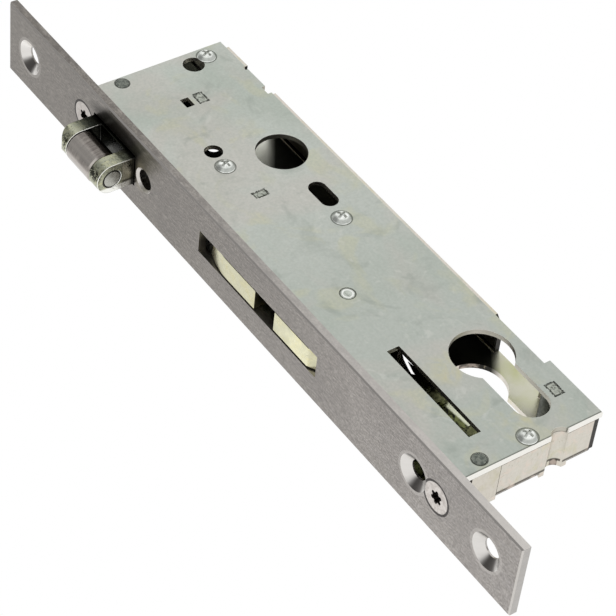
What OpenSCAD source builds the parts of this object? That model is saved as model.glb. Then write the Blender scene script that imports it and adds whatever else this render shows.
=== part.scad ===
// Narrow-stile mortise lock with a sprung roller latch and a swinging hook bolt.
// X runs through the case thickness, Y into the door, Z along the faceplate.
// The origin is on the faceplate's front, midway between its two end screws.

/* [Faceplate] */
// Width of the faceplate
plate_w = 24; // [20:1:28]
// Length of the faceplate
plate_l = 236; // [228:1:260]
// Thickness of the faceplate
plate_t = 2.5; // [2:0.5:3]
// Chamfer round the front of the faceplate
plate_chamfer = 0.4; // [0.2:0.1:0.6]
// Distance between the two end screw holes
end_pitch = 213; // [208:1:216]
// Hole for an end screw
end_hole_d = 5.4; // [4.5:0.1:6]
// Countersink of an end screw
end_head_d = 10.4; // [9:0.1:11]

/* [Case] */
// Outside thickness of the case
case_t = 14; // [13.5:0.5:16]
// Thickness of the case sheet
sheet_t = 1.5; // [1.2:0.1:1.7]
// Height of the top of the case
case_top = 79.2; // [79:0.2:82]
// Height of the bottom of the case
case_bottom = -90.2; // [-93:0.2:-90]
// Depth from the faceplate's front to the back of the case
case_d = 48.6; // [48:0.2:52]
// How far the cover stops short of the back wall's face
cover_step = 1.9; // [1.6:0.1:2.2]
// Outside radius of the sheet bends
bend_r = 1.9; // [1.8:0.1:2.4]
// Where the bent end walls start, from the faceplate's front
end_wall_y = 16.8; // [16.8:0.1:19]
// Radius of the half-round groove in the bottom wall
groove_r = 3; // [2.4:0.2:3.4]
// Depth of the groove
groove_depth = 2; // [1.4:0.2:2.2]
// Top of the back wall
back_wall_top = 53.8; // [52:0.2:54]
// Foot of the back wall, above the cylinder
back_wall_foot = -51; // [-52:0.2:-48]
// Top of the rear lug, below the cylinder
rear_lug_top = -69.2; // [-72:0.2:-68]
// Foot of the rear tab at the top of the case
tab_foot = 67.8; // [66:0.2:70]
// How far the end walls stop short of the back
wall_lap = 0.9; // [0.6:0.1:1.2]

/* [Case openings] */
// Big round hole in the cover, from the faceplate's front
big_hole_y = 34.8; // [34:0.1:35.5]
// Height of the big round hole
big_hole_z = 30.8; // [30.2:0.1:31.5]
// Diameter of the big round hole
big_hole_d = 14.7; // [14:0.1:15]
// Oblong hole in the cover, from the faceplate's front
oval_y = 34.8; // [34:0.1:35.5]
// Foot of the oblong hole
oval_z = 5.7; // [5.2:0.1:6]
// Height of the oblong hole
oval_h = 10.6; // [10:0.1:11]
// Width of the oblong hole
oval_w = 5.2; // [4.8:0.1:5.6]
// Small hole in the cover, from the faceplate's front
small_hole_y = 18.5; // [18.2:0.1:18.8]
// Height of the small hole
small_hole_z = 39.95; // [39.9:0.05:40.3]
// Diameter of the small hole
small_hole_d = 5.3; // [5:0.1:5.6]
// Hole at the top of the cover, from the faceplate's front
top_hole_y = 34.3; // [33.8:0.1:34.5]
// Height of the hole at the top
top_hole_z = 74.1; // [73.6:0.1:74.4]
// Diameter of the hole at the top
top_hole_d = 6.3; // [6:0.1:6.6]
// Upper round hole in the base, from the faceplate's front
base_hole_y = 27.6; // [27:0.1:28]
// Height of the upper round hole
base_hole_z = 53; // [52.6:0.1:53.4]
// Diameter of the upper round hole
base_hole_d = 8; // [7.6:0.1:8.2]
// Lower round hole in the base, from the faceplate's front
low_hole_y = 28; // [27.6:0.1:28.2]
// Height of the lower round hole
low_hole_z = -43; // [-43.4:0.1:-42.8]
// Diameter of the lower round hole
low_hole_d = 10.8; // [10.2:0.1:11]
// Height of the larger notch in the cover's back edge
edge_notch_z = 54.8; // [54:0.2:56]
// Height of the smaller notch in the cover's back edge
edge_nick_z = 65.8; // [65:0.2:67]

/* [Cylinder hole] */
// Backset, from the faceplate's front to the cylinder axis
backset = 35; // [34.5:0.5:36]
// Height of the cylinder axis
key_z = -58.6; // [-60:0.2:-57]
// Round part of the profile hole
key_d = 17.3; // [17:0.1:17.6]
// Slot part of the profile hole
key_slot_w = 10.4; // [10:0.1:10.8]
// From the cylinder axis to the foot of the slot
key_drop = 24.7; // [24.2:0.1:25]
// From the cylinder axis down to the fixing screw
key_screw_drop = 18.9; // [18.6:0.1:19.2]
// Hole for the cylinder fixing screw
key_screw_d = 5.6; // [5.2:0.1:6]

/* [Roller latch] */
// Height of the roller's middle
roller_z = 60.9; // [60.5:0.1:61]
// Diameter of the roller
roller_d = 9.8; // [9:0.2:10]
// How far the roller stands out of the faceplate
roller_reach = 12; // [11:0.2:13]
// Diameter of the roller's pin
roller_pin_d = 5.6; // [4.6:0.1:5.8]
// Width of the fork's ears
fork_w = 9.4; // [9:0.1:9.8]
// Height over the two ears
fork_h = 21; // [20:0.2:21.2]
// Thickness of an ear
ear_t = 4.5; // [4:0.1:5]
// Travel of the roller into the case
latch_travel = 10.5; // [9:0.5:10.5]
// Diameter of the stem behind the fork
stem_d = 6; // [5:0.2:6]
// Length of the stem behind the fork
stem_l = 24; // [23:0.5:24.5]
// Middle of the spring seat, from the faceplate's front
seat_y = 28; // [27.5:0.1:28.5]
// Thickness of the spring seat
seat_t = 2.2; // [1.8:0.1:2.4]
// Height of the spring seat
seat_h = 13; // [12:0.5:15]
// Outside diameter of the latch spring
spring_od = 9.8; // [9:0.1:10]
// Wire of the latch spring
spring_wire = 1.1; // [0.8:0.1:1.2]
// Turns of the latch spring
spring_turns = 5; // [4:1:5]
// From the roller's middle down to the stop screw
stop_drop = 15.2; // [15:0.1:15.4]
// Diameter of the stop screw
stop_d = 8; // [7:0.2:8]
// Access hole in front of the stop screw
access_d = 6; // [5:0.2:6.2]
// Countersink of the access hole
access_head_d = 7.6; // [7:0.1:8]
// Length of the stop screw
stop_l = 10; // [9:0.5:11]

/* [Hook bolt] */
// Pivot of the hook bolt, from the faceplate's front
pivot_y = 18; // [17.8:0.1:18.4]
// Height of the pivot
pivot_z = -23.7; // [-24:0.1:-23.4]
// Diameter of the pivot pin
pivot_d = 6; // [5:0.2:6.2]
// Diameter of the pivot pin's riveted ends
pivot_end_d = 3.9; // [3:0.1:4.2]
// Thickness of the hook bolt
bolt_t = 6.2; // [5.6:0.1:6.4]
// Radius from the pivot to the hook's nose
nose_r = 41.5; // [40:0.1:41.8]
// Radius from the pivot to the heel
heel_r = 19.6; // [19:0.1:19.6]
// Angle of throw
throw_angle = 70; // [60:1:72]
// Top of the hook's throat
throat_top = -8; // [-8.4:0.1:-7]
// Height of the throat
throat_h = 8.9; // [8:0.1:9]
// Depth of the throat
throat_depth = 9.4; // [8:0.2:10]
// Top of the window for the bolt
window_top = 18.2; // [18:0.1:19]
// Height of the window
window_h = 54.3; // [54:0.1:55.5]
// Width of the window
window_w = 7.3; // [7.1:0.1:8]

/* [Drive slide] */
// Thickness of the slide
slide_t = 1.9; // [1.6:0.1:1.9]
// Distance of the drive pin behind the pivot
drive_arm = 9; // [8.6:0.1:9.4]
// Diameter of the drive pin
drive_pin_d = 4; // [3.4:0.1:4.2]
// Width of the slide's spine
spine_w = 7; // [6.6:0.1:7.2]
// Middle of the guide slots in the case
guide_y = 16.3; // [16.1:0.1:16.5]
// Width of the guide slots
guide_w = 3.8; // [3.6:0.1:4]
// Top of the guide slots
guide_top = -45.7; // [-46:0.1:-45]
// Height of the guide slots
guide_h = 34; // [33.5:0.1:34.5]
// Height of the notch for the cylinder's cam
cam_notch_h = 10.5; // [10:0.1:11]
// Height of each tooth beside the notch
tooth_h = 5; // [4.4:0.1:5.4]

// Height of the notch that holds the slide down
detent_z = -62; // [-62.2:0.1:-61.8]
// Anchor of the leaf spring, from the faceplate's front
anchor_y = 6.4; // [6.2:0.1:6.6]
// Height of the leaf spring's anchor
anchor_z = -77.5; // [-78:0.1:-77.2]
// Diameter of the anchor's rivet
anchor_d = 2; // [1.6:0.1:2.2]
// Thickness of the leaf spring
leaf_t = 0.5; // [0.4:0.05:0.6]

/* [Bars] */
// Stop bar behind the drawn-back bolt, from the faceplate's front
stop_bar_y = 20; // [19.6:0.1:20.4]
// Height of the stop bar
stop_bar_z = 19.4; // [19.2:0.1:19.8]
// Rear spacer, forward from the back of the case
rear_inset = 5.4; // [5.2:0.1:5.8]
// Height of the rear spacer
rear_z = -77.6; // [-78:0.1:-77.2]

/* [Fasteners] */
// Height of the upper screw that holds the faceplate
upper_screw_z = 76.7; // [76.4:0.1:77]
// Height of the lower screw that holds the faceplate
lower_screw_z = -86.8; // [-87:0.1:-86.6]
// Thread of the faceplate screws
plate_screw_d = 4.8; // [4.4:0.1:5]
// Head of the faceplate screws
plate_screw_head_d = 8.9; // [8.4:0.1:9.2]
// Length of the faceplate screws
plate_screw_l = 14; // [13:0.5:15]
// Middle of the tapped posts, from the faceplate's front
post_y = 12.2; // [12:0.1:12.4]
// Width of the tapped posts
post_w = 9; // [8:0.1:9]
// Riveted ends of the tapped posts
post_end_d = 3.9; // [3.5:0.1:4.2]
// Top cover screw, from the faceplate's front
screw_a_y = 39.5; // [39:0.1:40]
// Height of the top cover screw
screw_a_z = 75.5; // [75:0.1:75.6]
// Upper middle cover screw, from the faceplate's front
screw_b_y = 17.9; // [17.6:0.1:18.2]
// Height of the upper middle cover screw
screw_b_z = 33.2; // [33:0.1:33.6]
// Lower middle cover screw, from the faceplate's front
screw_c_y = 33.5; // [33:0.1:34]
// Height of the lower middle cover screw
screw_c_z = 0.7; // [0.4:0.1:1]
// Bottom cover screw, from the faceplate's front
screw_d_y = 27.1; // [26.8:0.1:27.4]
// Height of the bottom cover screw
screw_d_z = -86.9; // [-87:0.1:-86.8]
// Thread of the cover screws
cover_screw_d = 2.9; // [2.5:0.1:3]
// Head of the cover screws
cover_head_d = 5.4; // [5:0.1:5.6]
// Height of a cover screw's head
cover_head_h = 1.5; // [1.2:0.1:1.8]
// Diameter of the screw pillars
pillar_d = 6; // [5:0.2:6.4]

/* [Fits] */
// Radial clearance of a pin that turns in its bore
run_gap = 0.05; // [0.03:0.01:0.08]
// Clearance beside a piece that slides
slide_gap = 0.2; // [0.15:0.05:0.25]
// Clearance round what passes through the faceplate
pass_gap = 0.3; // [0.25:0.05:0.35]
// Clearance beside the roller where it goes through the faceplate
roller_gap = 0.4; // [0.3:0.05:0.45]

/* [Hidden] */
$fn = 64;

eps = 0.01;
cone = 0.8;
outer_x = case_t / 2;
inner_x = outer_x - sheet_t;

plate_screw_z = [upper_screw_z, lower_screw_z];
key_screw_z = key_z - key_screw_drop;
key_screw_head_d = end_head_d;

roller_axis_y = roller_d / 2 - roller_reach;
fork_web_y = roller_axis_y + roller_d / 2 + 1.6;
nose_dome_r = 3.2;
pin_depth = 2.2;
shoulder_y = plate_t + 1.7;
shoulder_t = 5.8;
fork_back_y = shoulder_y + shoulder_t;
shoulder_x = inner_x - slide_gap;
stop_z = roller_z - stop_drop;
stop_lug_r = shoulder_x;
seat_front = seat_y - seat_t / 2;
seat_back = seat_y + seat_t / 2;
seat_tenon_h = 3.6;
seat_tenon_y = 2.4;
spare_seat_y = seat_y - 4.4;
nut_t = 3;
nut_w = 9;

bolt_front = 0.2;
heel_z = pivot_z - 12.8;
bolt_back = 17.3;
nose_round_r = 25;
nose_round_z = 5;
window_bottom = window_top - window_h;
tail_r = 5.4;
tail_reach = drive_arm / cos(throw_angle / 2);
pivot_boss_r = 9;

slide_travel = 2 * drive_arm * tan(throw_angle / 2);
drive_y = pivot_y + drive_arm;
drive_z = pivot_z - slide_travel / 2;
slide_x0 = -inner_x + slide_gap;
slide_x1 = slide_x0 + slide_t;
spine_front = guide_y - 4.3;
spine_back = spine_front + spine_w;
notch_z = key_z - slide_travel / 2 + 0.5;
tooth_y = backset - key_d / 2 - 0.6;
stud_d = guide_w - 2 * slide_gap / 2;
stud_z = [guide_top - guide_h + guide_w / 2 + 0.1, guide_top - guide_w / 2 - slide_travel - 1.8];
slide_foot = lower_screw_z + 5.4;

cover_screw_spots = [[screw_a_y, screw_a_z], [screw_b_y, screw_b_z],
                     [screw_c_y, screw_c_z], [screw_d_y, screw_d_z]];
tab_spots = [cover_screw_spots[0], cover_screw_spots[3]];
pillar_spots = [cover_screw_spots[1], cover_screw_spots[2]];
stop_bar = [stop_bar_y, stop_bar_z];
stop_tenon = [3.6, 1.8];
rear_bar = [case_d - rear_inset, rear_z];
rear_tenon = [2.4, 3.8];
anchor_spot = [anchor_y, anchor_z];

zinc_grey = "#b7bdb2";
zinc_yellow = "#d6d4ae";
bright_steel = "#c9c7c2";
dark_steel = "#6d6c68";
stainless = "#8f8a84";

// Draws a profile in the Y-Z plane and gives it thickness from x0 to x1
module across(x0, x1) {
    translate([x0, 0, 0]) rotate([90, 0, 90]) linear_extrude(x1 - x0) children();
}

// Draws a profile in the X-Z plane and gives it depth from y0 to y1
module along(y0, y1) {
    translate([0, y1, 0]) rotate([90, 0, 0]) linear_extrude(y1 - y0) children();
}

// Round bar along X
module bar_x(x0, x1, y, z, d) {
    across(x0, x1) translate([y, z]) circle(d = d);
}

// Round bar along Y
module bar_y(y0, y1, z, d) {
    along(y0, y1) translate([0, z]) circle(d = d);
}

// Countersink from y0 inwards, from the head's diameter to the hole's
module countersink(z, head_d, hole_d) {
    translate([0, -eps, z]) rotate([-90, 0, 0])
        cylinder(h = cone * (head_d - hole_d) / 2 + eps, d1 = head_d + 2 * eps / cone, d2 = hole_d);
}

// Slot with round ends, w wide, from z0 to z1 at y
module slot_2d(y, z0, z1, w) {
    translate([y, z0 + w / 2]) circle(d = w);
    translate([y, z1 - w / 2]) circle(d = w);
    translate([y - w / 2, z0 + w / 2]) square([w, z1 - z0 - w]);
}

// Rectangle about its own middle
module block_2d(y, z, w, h) {
    translate([y - w / 2, z - h / 2]) square([w, h]);
}

// Keyhole for a profile cylinder
module keyhole_2d(grow = 0) {
    translate([backset, key_z]) circle(d = key_d + 2 * grow);
    slot_2d(backset, key_z - key_drop - grow, key_z, key_slot_w + 2 * grow);
}

module plate_chamfers() {
    c = plate_chamfer * sqrt(2);
    for (s = [-1, 1]) {
        translate([s * plate_w / 2, 0, 0]) rotate([0, 0, 45]) cube([c, c, plate_l + 2], center = true);
        translate([0, 0, s * plate_l / 2]) rotate([45, 0, 0]) cube([plate_w + 2, c, c], center = true);
    }
}

module window_2d(grow = 0) {
    translate([-window_w / 2 - grow, window_bottom - grow])
        square([window_w + 2 * grow, window_h + 2 * grow]);
}

module faceplate() {
    color(stainless) difference() {
        along(0, plate_t) block_2d(0, 0, plate_w, plate_l);
        plate_chamfers();
        for (s = [-1, 1]) {
            bar_y(-eps, plate_t + eps, s * end_pitch / 2, end_hole_d);
            countersink(s * end_pitch / 2, end_head_d, end_hole_d);
        }
        bar_y(-eps, plate_t + eps, key_screw_z, key_screw_d);
        countersink(key_screw_z, key_screw_head_d, key_screw_d);
        for (z = plate_screw_z) {
            bar_y(-eps, plate_t + eps, z, plate_screw_d + 0.4);
            countersink(z, plate_screw_head_d, plate_screw_d + 0.4);
        }
        bar_y(-eps, plate_t + eps, stop_z, access_d);
        countersink(stop_z, access_head_d, access_d);
        along(-eps, plate_t + eps) window_2d();
        along(-eps, plate_t + eps)
            block_2d(0, roller_z, max(roller_d, fork_w) + 2 * roller_gap, fork_h + 2 * pass_gap);
    }
}

// Back wall of the case, bent at the base, from z0 to z1
module back_wall(z0, z1) {
    translate([0, 0, z0]) linear_extrude(z1 - z0) {
        difference() {
            translate([-outer_x + bend_r, case_d - bend_r]) circle(r = bend_r);
            translate([-outer_x + bend_r, case_d - bend_r]) circle(r = bend_r - sheet_t);
            translate([-outer_x + bend_r, case_d - 3 * bend_r]) square([2 * bend_r, 4 * bend_r]);
            translate([-outer_x - bend_r, case_d - 3 * bend_r]) square([4 * bend_r, 2 * bend_r]);
        }
        translate([-outer_x + bend_r, case_d - sheet_t]) square([inner_x + outer_x - bend_r, sheet_t]);
    }
}

// End wall of the case, bent at the base; s is 1 at the top and -1 at the bottom
module end_wall(s, z_out) {
    translate([0, end_wall_y, z_out]) rotate([-90, 0, 0]) scale([1, -s, 1]) {
        linear_extrude(case_d - bend_r - end_wall_y) difference() {
            translate([-outer_x + bend_r, -bend_r]) circle(r = bend_r);
            translate([-outer_x + bend_r, -bend_r]) circle(r = bend_r - sheet_t);
            translate([-outer_x + bend_r, -3 * bend_r]) square([2 * bend_r, 4 * bend_r]);
            translate([-outer_x - bend_r, -3 * bend_r]) square([4 * bend_r, 2 * bend_r]);
        }
        linear_extrude(case_d - wall_lap - end_wall_y) translate([-outer_x + bend_r, -sheet_t])
            square([inner_x + outer_x - bend_r, sheet_t]);
    }
}

// Outline of the base sheet before its walls are bent up
module base_2d() {
    translate([plate_t, case_bottom + bend_r])
        square([case_d - bend_r - plate_t, case_top - case_bottom - 2 * bend_r]);
    translate([plate_t, case_bottom]) square([end_wall_y - plate_t, bend_r + 1]);
    translate([plate_t, case_top - bend_r - 1]) square([end_wall_y - plate_t, bend_r + 1]);
    translate([case_d - bend_r - 1, rear_lug_top]) square([bend_r + 1, back_wall_foot - rear_lug_top]);
}

// Openings that the base and the cover share
module shared_holes_2d() {
    keyhole_2d();
    block_2d(guide_y, guide_top - guide_h / 2, guide_w, guide_h);
    for (z = plate_screw_z) translate([post_y, z]) circle(d = post_end_d + 2 * run_gap);
    translate([pivot_y, pivot_z]) circle(d = pivot_end_d + 2 * run_gap);
    block_2d(seat_y, roller_z, seat_tenon_y + slide_gap, seat_tenon_h + slide_gap);
    block_2d(spare_seat_y, roller_z, seat_tenon_y + slide_gap, seat_tenon_h + slide_gap);
    block_2d(stop_bar[0], stop_bar[1], stop_tenon[0] + slide_gap, stop_tenon[1] + slide_gap);
    block_2d(rear_bar[0], rear_bar[1], rear_tenon[0] + slide_gap, rear_tenon[1] + slide_gap);
}

module case_base() {
    color(zinc_yellow) difference() {
        union() {
            across(-outer_x, -inner_x) difference() {
                base_2d();
                shared_holes_2d();
                translate([base_hole_y, base_hole_z]) circle(d = base_hole_d);
                translate([low_hole_y, low_hole_z]) circle(d = low_hole_d);
                for (p = pillar_spots) translate(p) circle(d = pillar_d / 2 + 2 * run_gap);
                translate(anchor_spot) circle(d = anchor_d + 2 * run_gap);
            }
            difference() {
                back_wall(back_wall_foot, back_wall_top);
                along(case_d - 3, case_d + 1)
                    polygon([[inner_x - 3, back_wall_foot - eps], [inner_x + 1, back_wall_foot - eps],
                             [inner_x + 1, back_wall_foot + 4]]);
            }
            back_wall(case_bottom + sheet_t + 0.1, rear_lug_top);
            back_wall(tab_foot, case_top - sheet_t - 0.1);
            end_wall(1, case_top);
            end_wall(-1, case_bottom);
            across(-outer_x, inner_x)
                translate([backset, case_bottom + groove_depth - groove_r]) circle(r = groove_r + sheet_t);
            for (p = tab_spots) across(inner_x - sheet_t, inner_x)
                block_2d(p[0], p[1] - sign(p[1]) * 0.6, 6.4, 2 * (abs(p[1]) > 80 ? 3.1 : 4));
        }
        across(-outer_x - 1, outer_x)
            translate([backset, case_bottom + groove_depth - groove_r]) circle(r = groove_r);
        across(-outer_x - 1, outer_x) translate([0, case_bottom - 10]) square([case_d, 10]);
        across(-outer_x - 1, outer_x) translate([0, case_top]) square([case_d, 10]);
        for (p = tab_spots) bar_x(0, inner_x + 1, p[0], p[1], cover_screw_d + 0.1);
    }
}

// Outline of the cover, with its stepped back edge
module cover_2d() {
    translate([plate_t, case_bottom])
        square([case_d - cover_step - plate_t, case_top - case_bottom]);
    translate([case_d - cover_step - 1, case_bottom])
        square([cover_step + 1, rear_lug_top - case_bottom]);
}

module case_cover() {
    color(zinc_grey) across(inner_x, outer_x) difference() {
        cover_2d();
        shared_holes_2d();
        translate([backset, case_bottom + groove_depth - groove_r]) circle(r = groove_r);
        translate([big_hole_y, big_hole_z]) circle(d = big_hole_d);
        slot_2d(oval_y, oval_z, oval_z + oval_h, oval_w);
        translate([small_hole_y, small_hole_z]) circle(d = small_hole_d);
        translate([top_hole_y, top_hole_z]) circle(d = top_hole_d);
        for (p = cover_screw_spots) translate(p) circle(d = cover_screw_d + 0.3);
        block_2d(case_d - cover_step, edge_nick_z, 1.6, 1.6);
        block_2d(case_d - cover_step, edge_notch_z, 2.4, 3.2);
    }
}

// Countersunk screw along Y with a six-lobe recess
module lobed_screw(z) {
    head_h = cone * (plate_screw_head_d - plate_screw_d) / 2;
    difference() {
        union() {
            bar_y(0.05, plate_screw_l, z, plate_screw_d);
            translate([0, 0.05, z]) rotate([-90, 0, 0])
                cylinder(h = head_h, d1 = plate_screw_head_d - 0.2, d2 = plate_screw_d - 0.05);
        }
        along(-eps, 1.7) translate([0, z]) {
            circle(d = 3);
            for (a = [0:60:300]) rotate(a) translate([1.55, 0]) circle(d = 1.1, $fn = 24);
        }
        translate([0, plate_screw_l - 0.6, z]) rotate([-90, 0, 0]) difference() {
            cylinder(h = 1, d = plate_screw_d + 1);
            translate([0, 0, -eps]) cylinder(h = 1.1, d1 = plate_screw_d, d2 = plate_screw_d - 2);
        }
    }
}

module faceplate_screws() {
    color(bright_steel) for (z = plate_screw_z) lobed_screw(z);
}

// Tapped post between the base and the cover, riveted at both ends
module tapped_post(z, z_low, z_high) {
    difference() {
        union() {
            across(-inner_x, inner_x)
                translate([end_wall_y - 0.1 - post_w, z_low]) square([post_w, z_high - z_low]);
            bar_x(-outer_x, outer_x, post_y, z, post_end_d);
        }
        bar_y(0, case_d, z, plate_screw_d + 0.1);
    }
}

module tapped_posts() {
    color(dark_steel) {
        tapped_post(upper_screw_z, upper_screw_z - 3.8, case_top);
        tapped_post(lower_screw_z, case_bottom, lower_screw_z + 3.8);
    }
}

// Pan-head screw along X with a cross recess
module pan_screw(p) {
    dome_r = (pow(cover_head_d / 2, 2) + pow(cover_head_h, 2)) / (2 * cover_head_h);
    recess = 0.8;
    translate([outer_x, p[0], p[1]]) rotate([0, 90, 0]) difference() {
        union() {
            intersection() {
                translate([0, 0, cover_head_h - dome_r]) sphere(r = dome_r);
                cylinder(h = cover_head_h + 1, d = cover_head_d);
            }
            translate([0, 0, -sheet_t - 3.4]) cylinder(h = sheet_t + 3.5, d = cover_screw_d);
        }
        for (a = [20, 110]) rotate(a)
            translate([-1.5, -recess / 2, cover_head_h - 0.9]) cube([3, recess, 2]);
    }
}

module cover_screws() {
    color(bright_steel) for (p = cover_screw_spots) pan_screw(p);
}

module screw_pillars() {
    color(bright_steel) for (p = pillar_spots) difference() {
        union() {
            bar_x(-inner_x, inner_x, p[0], p[1], pillar_d);
            bar_x(-outer_x, 0, p[0], p[1], pillar_d / 2);
        }
        bar_x(inner_x - 5, outer_x, p[0], p[1], cover_screw_d + 0.1);
    }
}

module roller() {
    half = fork_h / 2 - ear_t - slide_gap;
    edge = 0.5;
    color(bright_steel) translate([0, roller_axis_y, roller_z]) rotate_extrude() difference() {
        translate([roller_pin_d / 2 + run_gap, -half])
            square([(roller_d - roller_pin_d) / 2 - run_gap, 2 * half]);
        for (s = [-1, 1]) translate([roller_d / 2, s * half])
            rotate(45) square(edge * sqrt(2), center = true);
    }
}

module roller_pin() {
    color(bright_steel) translate([0, roller_axis_y, roller_z - fork_h / 2])
        cylinder(h = fork_h - ear_t + pin_depth, d = roller_pin_d);
}

// D-shaped outline of an ear, seen along the roller's axis
module ear_2d(y1) {
    translate([0, roller_axis_y]) circle(d = fork_w);
    translate([-fork_w / 2, roller_axis_y]) square([fork_w, y1 - roller_axis_y]);
}

module roller_fork() {
    nose = [roller_axis_y - fork_w / 2, roller_z + fork_h / 2];
    color(zinc_yellow) difference() {
        union() {
            translate([0, 0, roller_z - fork_h / 2]) linear_extrude(fork_h) ear_2d(fork_back_y);
            along(shoulder_y, fork_back_y) {
                block_2d(0, roller_z, 2 * shoulder_x, fork_h);
                block_2d(0, stop_z + stop_lug_r, 2 * shoulder_x, 2 * stop_lug_r);
                translate([0, stop_z]) circle(r = stop_lug_r);
            }
        }
        across(-fork_w, fork_w) difference() {
            translate([nose[0] - 1, nose[1] - nose_dome_r]) square([nose_dome_r + 1, nose_dome_r + 1]);
            translate([nose[0] + nose_dome_r, nose[1] - nose_dome_r]) circle(r = nose_dome_r);
        }
        translate([-fork_w, roller_axis_y - fork_w, roller_z - fork_h / 2 + ear_t])
            cube([2 * fork_w, fork_web_y - roller_axis_y + fork_w, fork_h - 2 * ear_t]);
        translate([0, roller_axis_y, roller_z - fork_h / 2 - 1])
            cylinder(h = fork_h - ear_t + pin_depth + 1.1, d = roller_pin_d + 2 * run_gap);
        bar_y(shoulder_y, fork_back_y + 1, roller_z, stem_d + 2 * run_gap);
        bar_y(0, fork_back_y + 1, stop_z, stop_d + 2 * run_gap);
    }
}

module fork_stem() {
    color(bright_steel) difference() {
        bar_y(shoulder_y, fork_back_y + stem_l, roller_z, stem_d);
        along(fork_back_y + stem_l - 1, fork_back_y + stem_l + 1)
            block_2d(0, roller_z, stem_d + 1, 1.1);
    }
}

module stem_nut() {
    y0 = seat_back + 1;
    color(bright_steel) difference() {
        translate([0, y0, roller_z]) rotate([-90, 0, 0]) cylinder(h = nut_t, d = nut_w / cos(30), $fn = 6);
        bar_y(y0 - 1, y0 + nut_t + 1, roller_z, stem_d + 2 * run_gap);
    }
}

module stop_screw() {
    color(dark_steel) difference() {
        bar_y(plate_t + 0.05, plate_t + stop_l, stop_z, stop_d);
        translate([0, plate_t - 1, stop_z]) rotate([-90, 0, 0]) cylinder(h = 5, d = 4.6, $fn = 6);
    }
}

// Compression spring along Y, as one unbroken tube
module latch_spring() {
    y0 = fork_back_y + spring_wire / 2 + 0.1;
    y1 = seat_front - spring_wire / 2 - 0.1;
    coil_r = (spring_od - spring_wire) / 2;
    sides = 6;
    steps = 20 * spring_turns;
    rings = [for (i = [0:steps]) let (a = 360 * spring_turns * i / steps, y = y0 + (y1 - y0) * i / steps)
        [for (k = [0:sides - 1]) let (b = 360 * k / sides, r = coil_r + spring_wire / 2 * cos(b))
            [r * cos(a), y + spring_wire / 2 * sin(b), roller_z + r * sin(a)]]];
    points = [for (ring = rings) for (p = ring) p];
    walls = [for (i = [0:steps - 1]) for (k = [0:sides - 1])
        let (n = (k + 1) % sides, a = i * sides, b = (i + 1) * sides)
        each [[a + k, a + n, b + n], [a + k, b + n, b + k]]];
    caps = [for (k = [1:sides - 2]) each [[0, k + 1, k],
        [steps * sides, steps * sides + k, steps * sides + k + 1]]];
    color(dark_steel) polyhedron(points, concat(walls, caps));
}

module spring_seat() {
    color(zinc_yellow) difference() {
        union() {
            along(seat_front, seat_back) block_2d(0, roller_z, 2 * inner_x, seat_h);
            across(-outer_x, outer_x) block_2d(seat_y, roller_z, seat_tenon_y, seat_tenon_h);
        }
        bar_y(seat_front - 1, seat_back + 1, roller_z, stem_d + 2 * slide_gap);
    }
}

// Nose of the hook, cut back from the front so that it swings out past the window
module hook_nose_2d() {
    intersection() {
        translate([pivot_y, pivot_z]) circle(r = nose_r, $fn = 128);
        translate([bolt_front + nose_round_r, nose_round_z]) circle(r = nose_round_r, $fn = 128);
        translate([bolt_front - 1, nose_round_z]) square([bolt_back - bolt_front + 1, nose_r]);
    }
}

// Heel of the hook, in front of the pivot
module hook_heel_2d() {
    intersection() {
        translate([pivot_y, pivot_z]) circle(r = heel_r, $fn = 128);
        translate([bolt_front, heel_z]) square([pivot_y - bolt_front, throat_top - heel_z]);
    }
}

// Slot in the bolt's tail: radial, with room for the straight travel of the pin
module tail_slot(h) {
    r0 = drive_arm - 0.3;
    r1 = tail_reach + 0.3;
    w = drive_pin_d + 1;
    for (r = [r0, r1]) bar_x(-h, h, r, 0, w);
    across(-h, h) translate([r0, -w / 2]) square([r1 - r0, w]);
}

module hook_bolt() {
    h = bolt_t / 2;
    color(zinc_yellow) difference() {
        union() {
            across(-h, h) hook_nose_2d();
            across(-h, h) polygon([[bolt_front, nose_round_z], [bolt_front + 3, nose_round_z + 3],
                [bolt_back - 3, nose_round_z + 3], [bolt_back, nose_round_z], [bolt_back, 2],
                [pivot_y + 7, pivot_z + 7.8], [pivot_y, pivot_z], [bolt_front, pivot_z]]);
            across(-h, h) hook_heel_2d();
            bar_x(-h, h, pivot_y, pivot_z, 2 * pivot_boss_r);
            translate([0, pivot_y, pivot_z]) rotate([-throw_angle / 2, 0, 0]) {
                across(-h, h) translate([0, -tail_r]) square([tail_reach, 2 * tail_r]);
                bar_x(-h, h, tail_reach, 0, 2 * tail_r);
            }
        }
        across(-h - 1, h + 1) {
            translate([bolt_front - 1, throat_top - throat_h])
                square([throat_depth - throat_h / 2 + 1 - bolt_front, throat_h]);
            translate([throat_depth - throat_h / 2, throat_top - throat_h / 2]) circle(d = throat_h);
        }
        translate([0, pivot_y, pivot_z]) rotate([-throw_angle / 2, 0, 0]) tail_slot(h + 1);
        bar_x(-h - 1, h + 1, pivot_y, pivot_z, pivot_d + 2 * run_gap);
    }
}

module pivot_pin() {
    color(dark_steel) {
        bar_x(-inner_x, inner_x, pivot_y, pivot_z, pivot_d);
        bar_x(-outer_x, outer_x, pivot_y, pivot_z, pivot_end_d);
    }
}

module pivot_collar() {
    color(bright_steel) difference() {
        bar_x(bolt_t / 2 + 0.1, inner_x - 0.1, pivot_y, pivot_z, 11);
        bar_x(0, outer_x, pivot_y, pivot_z, pivot_d + 2 * run_gap);
    }
}

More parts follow.
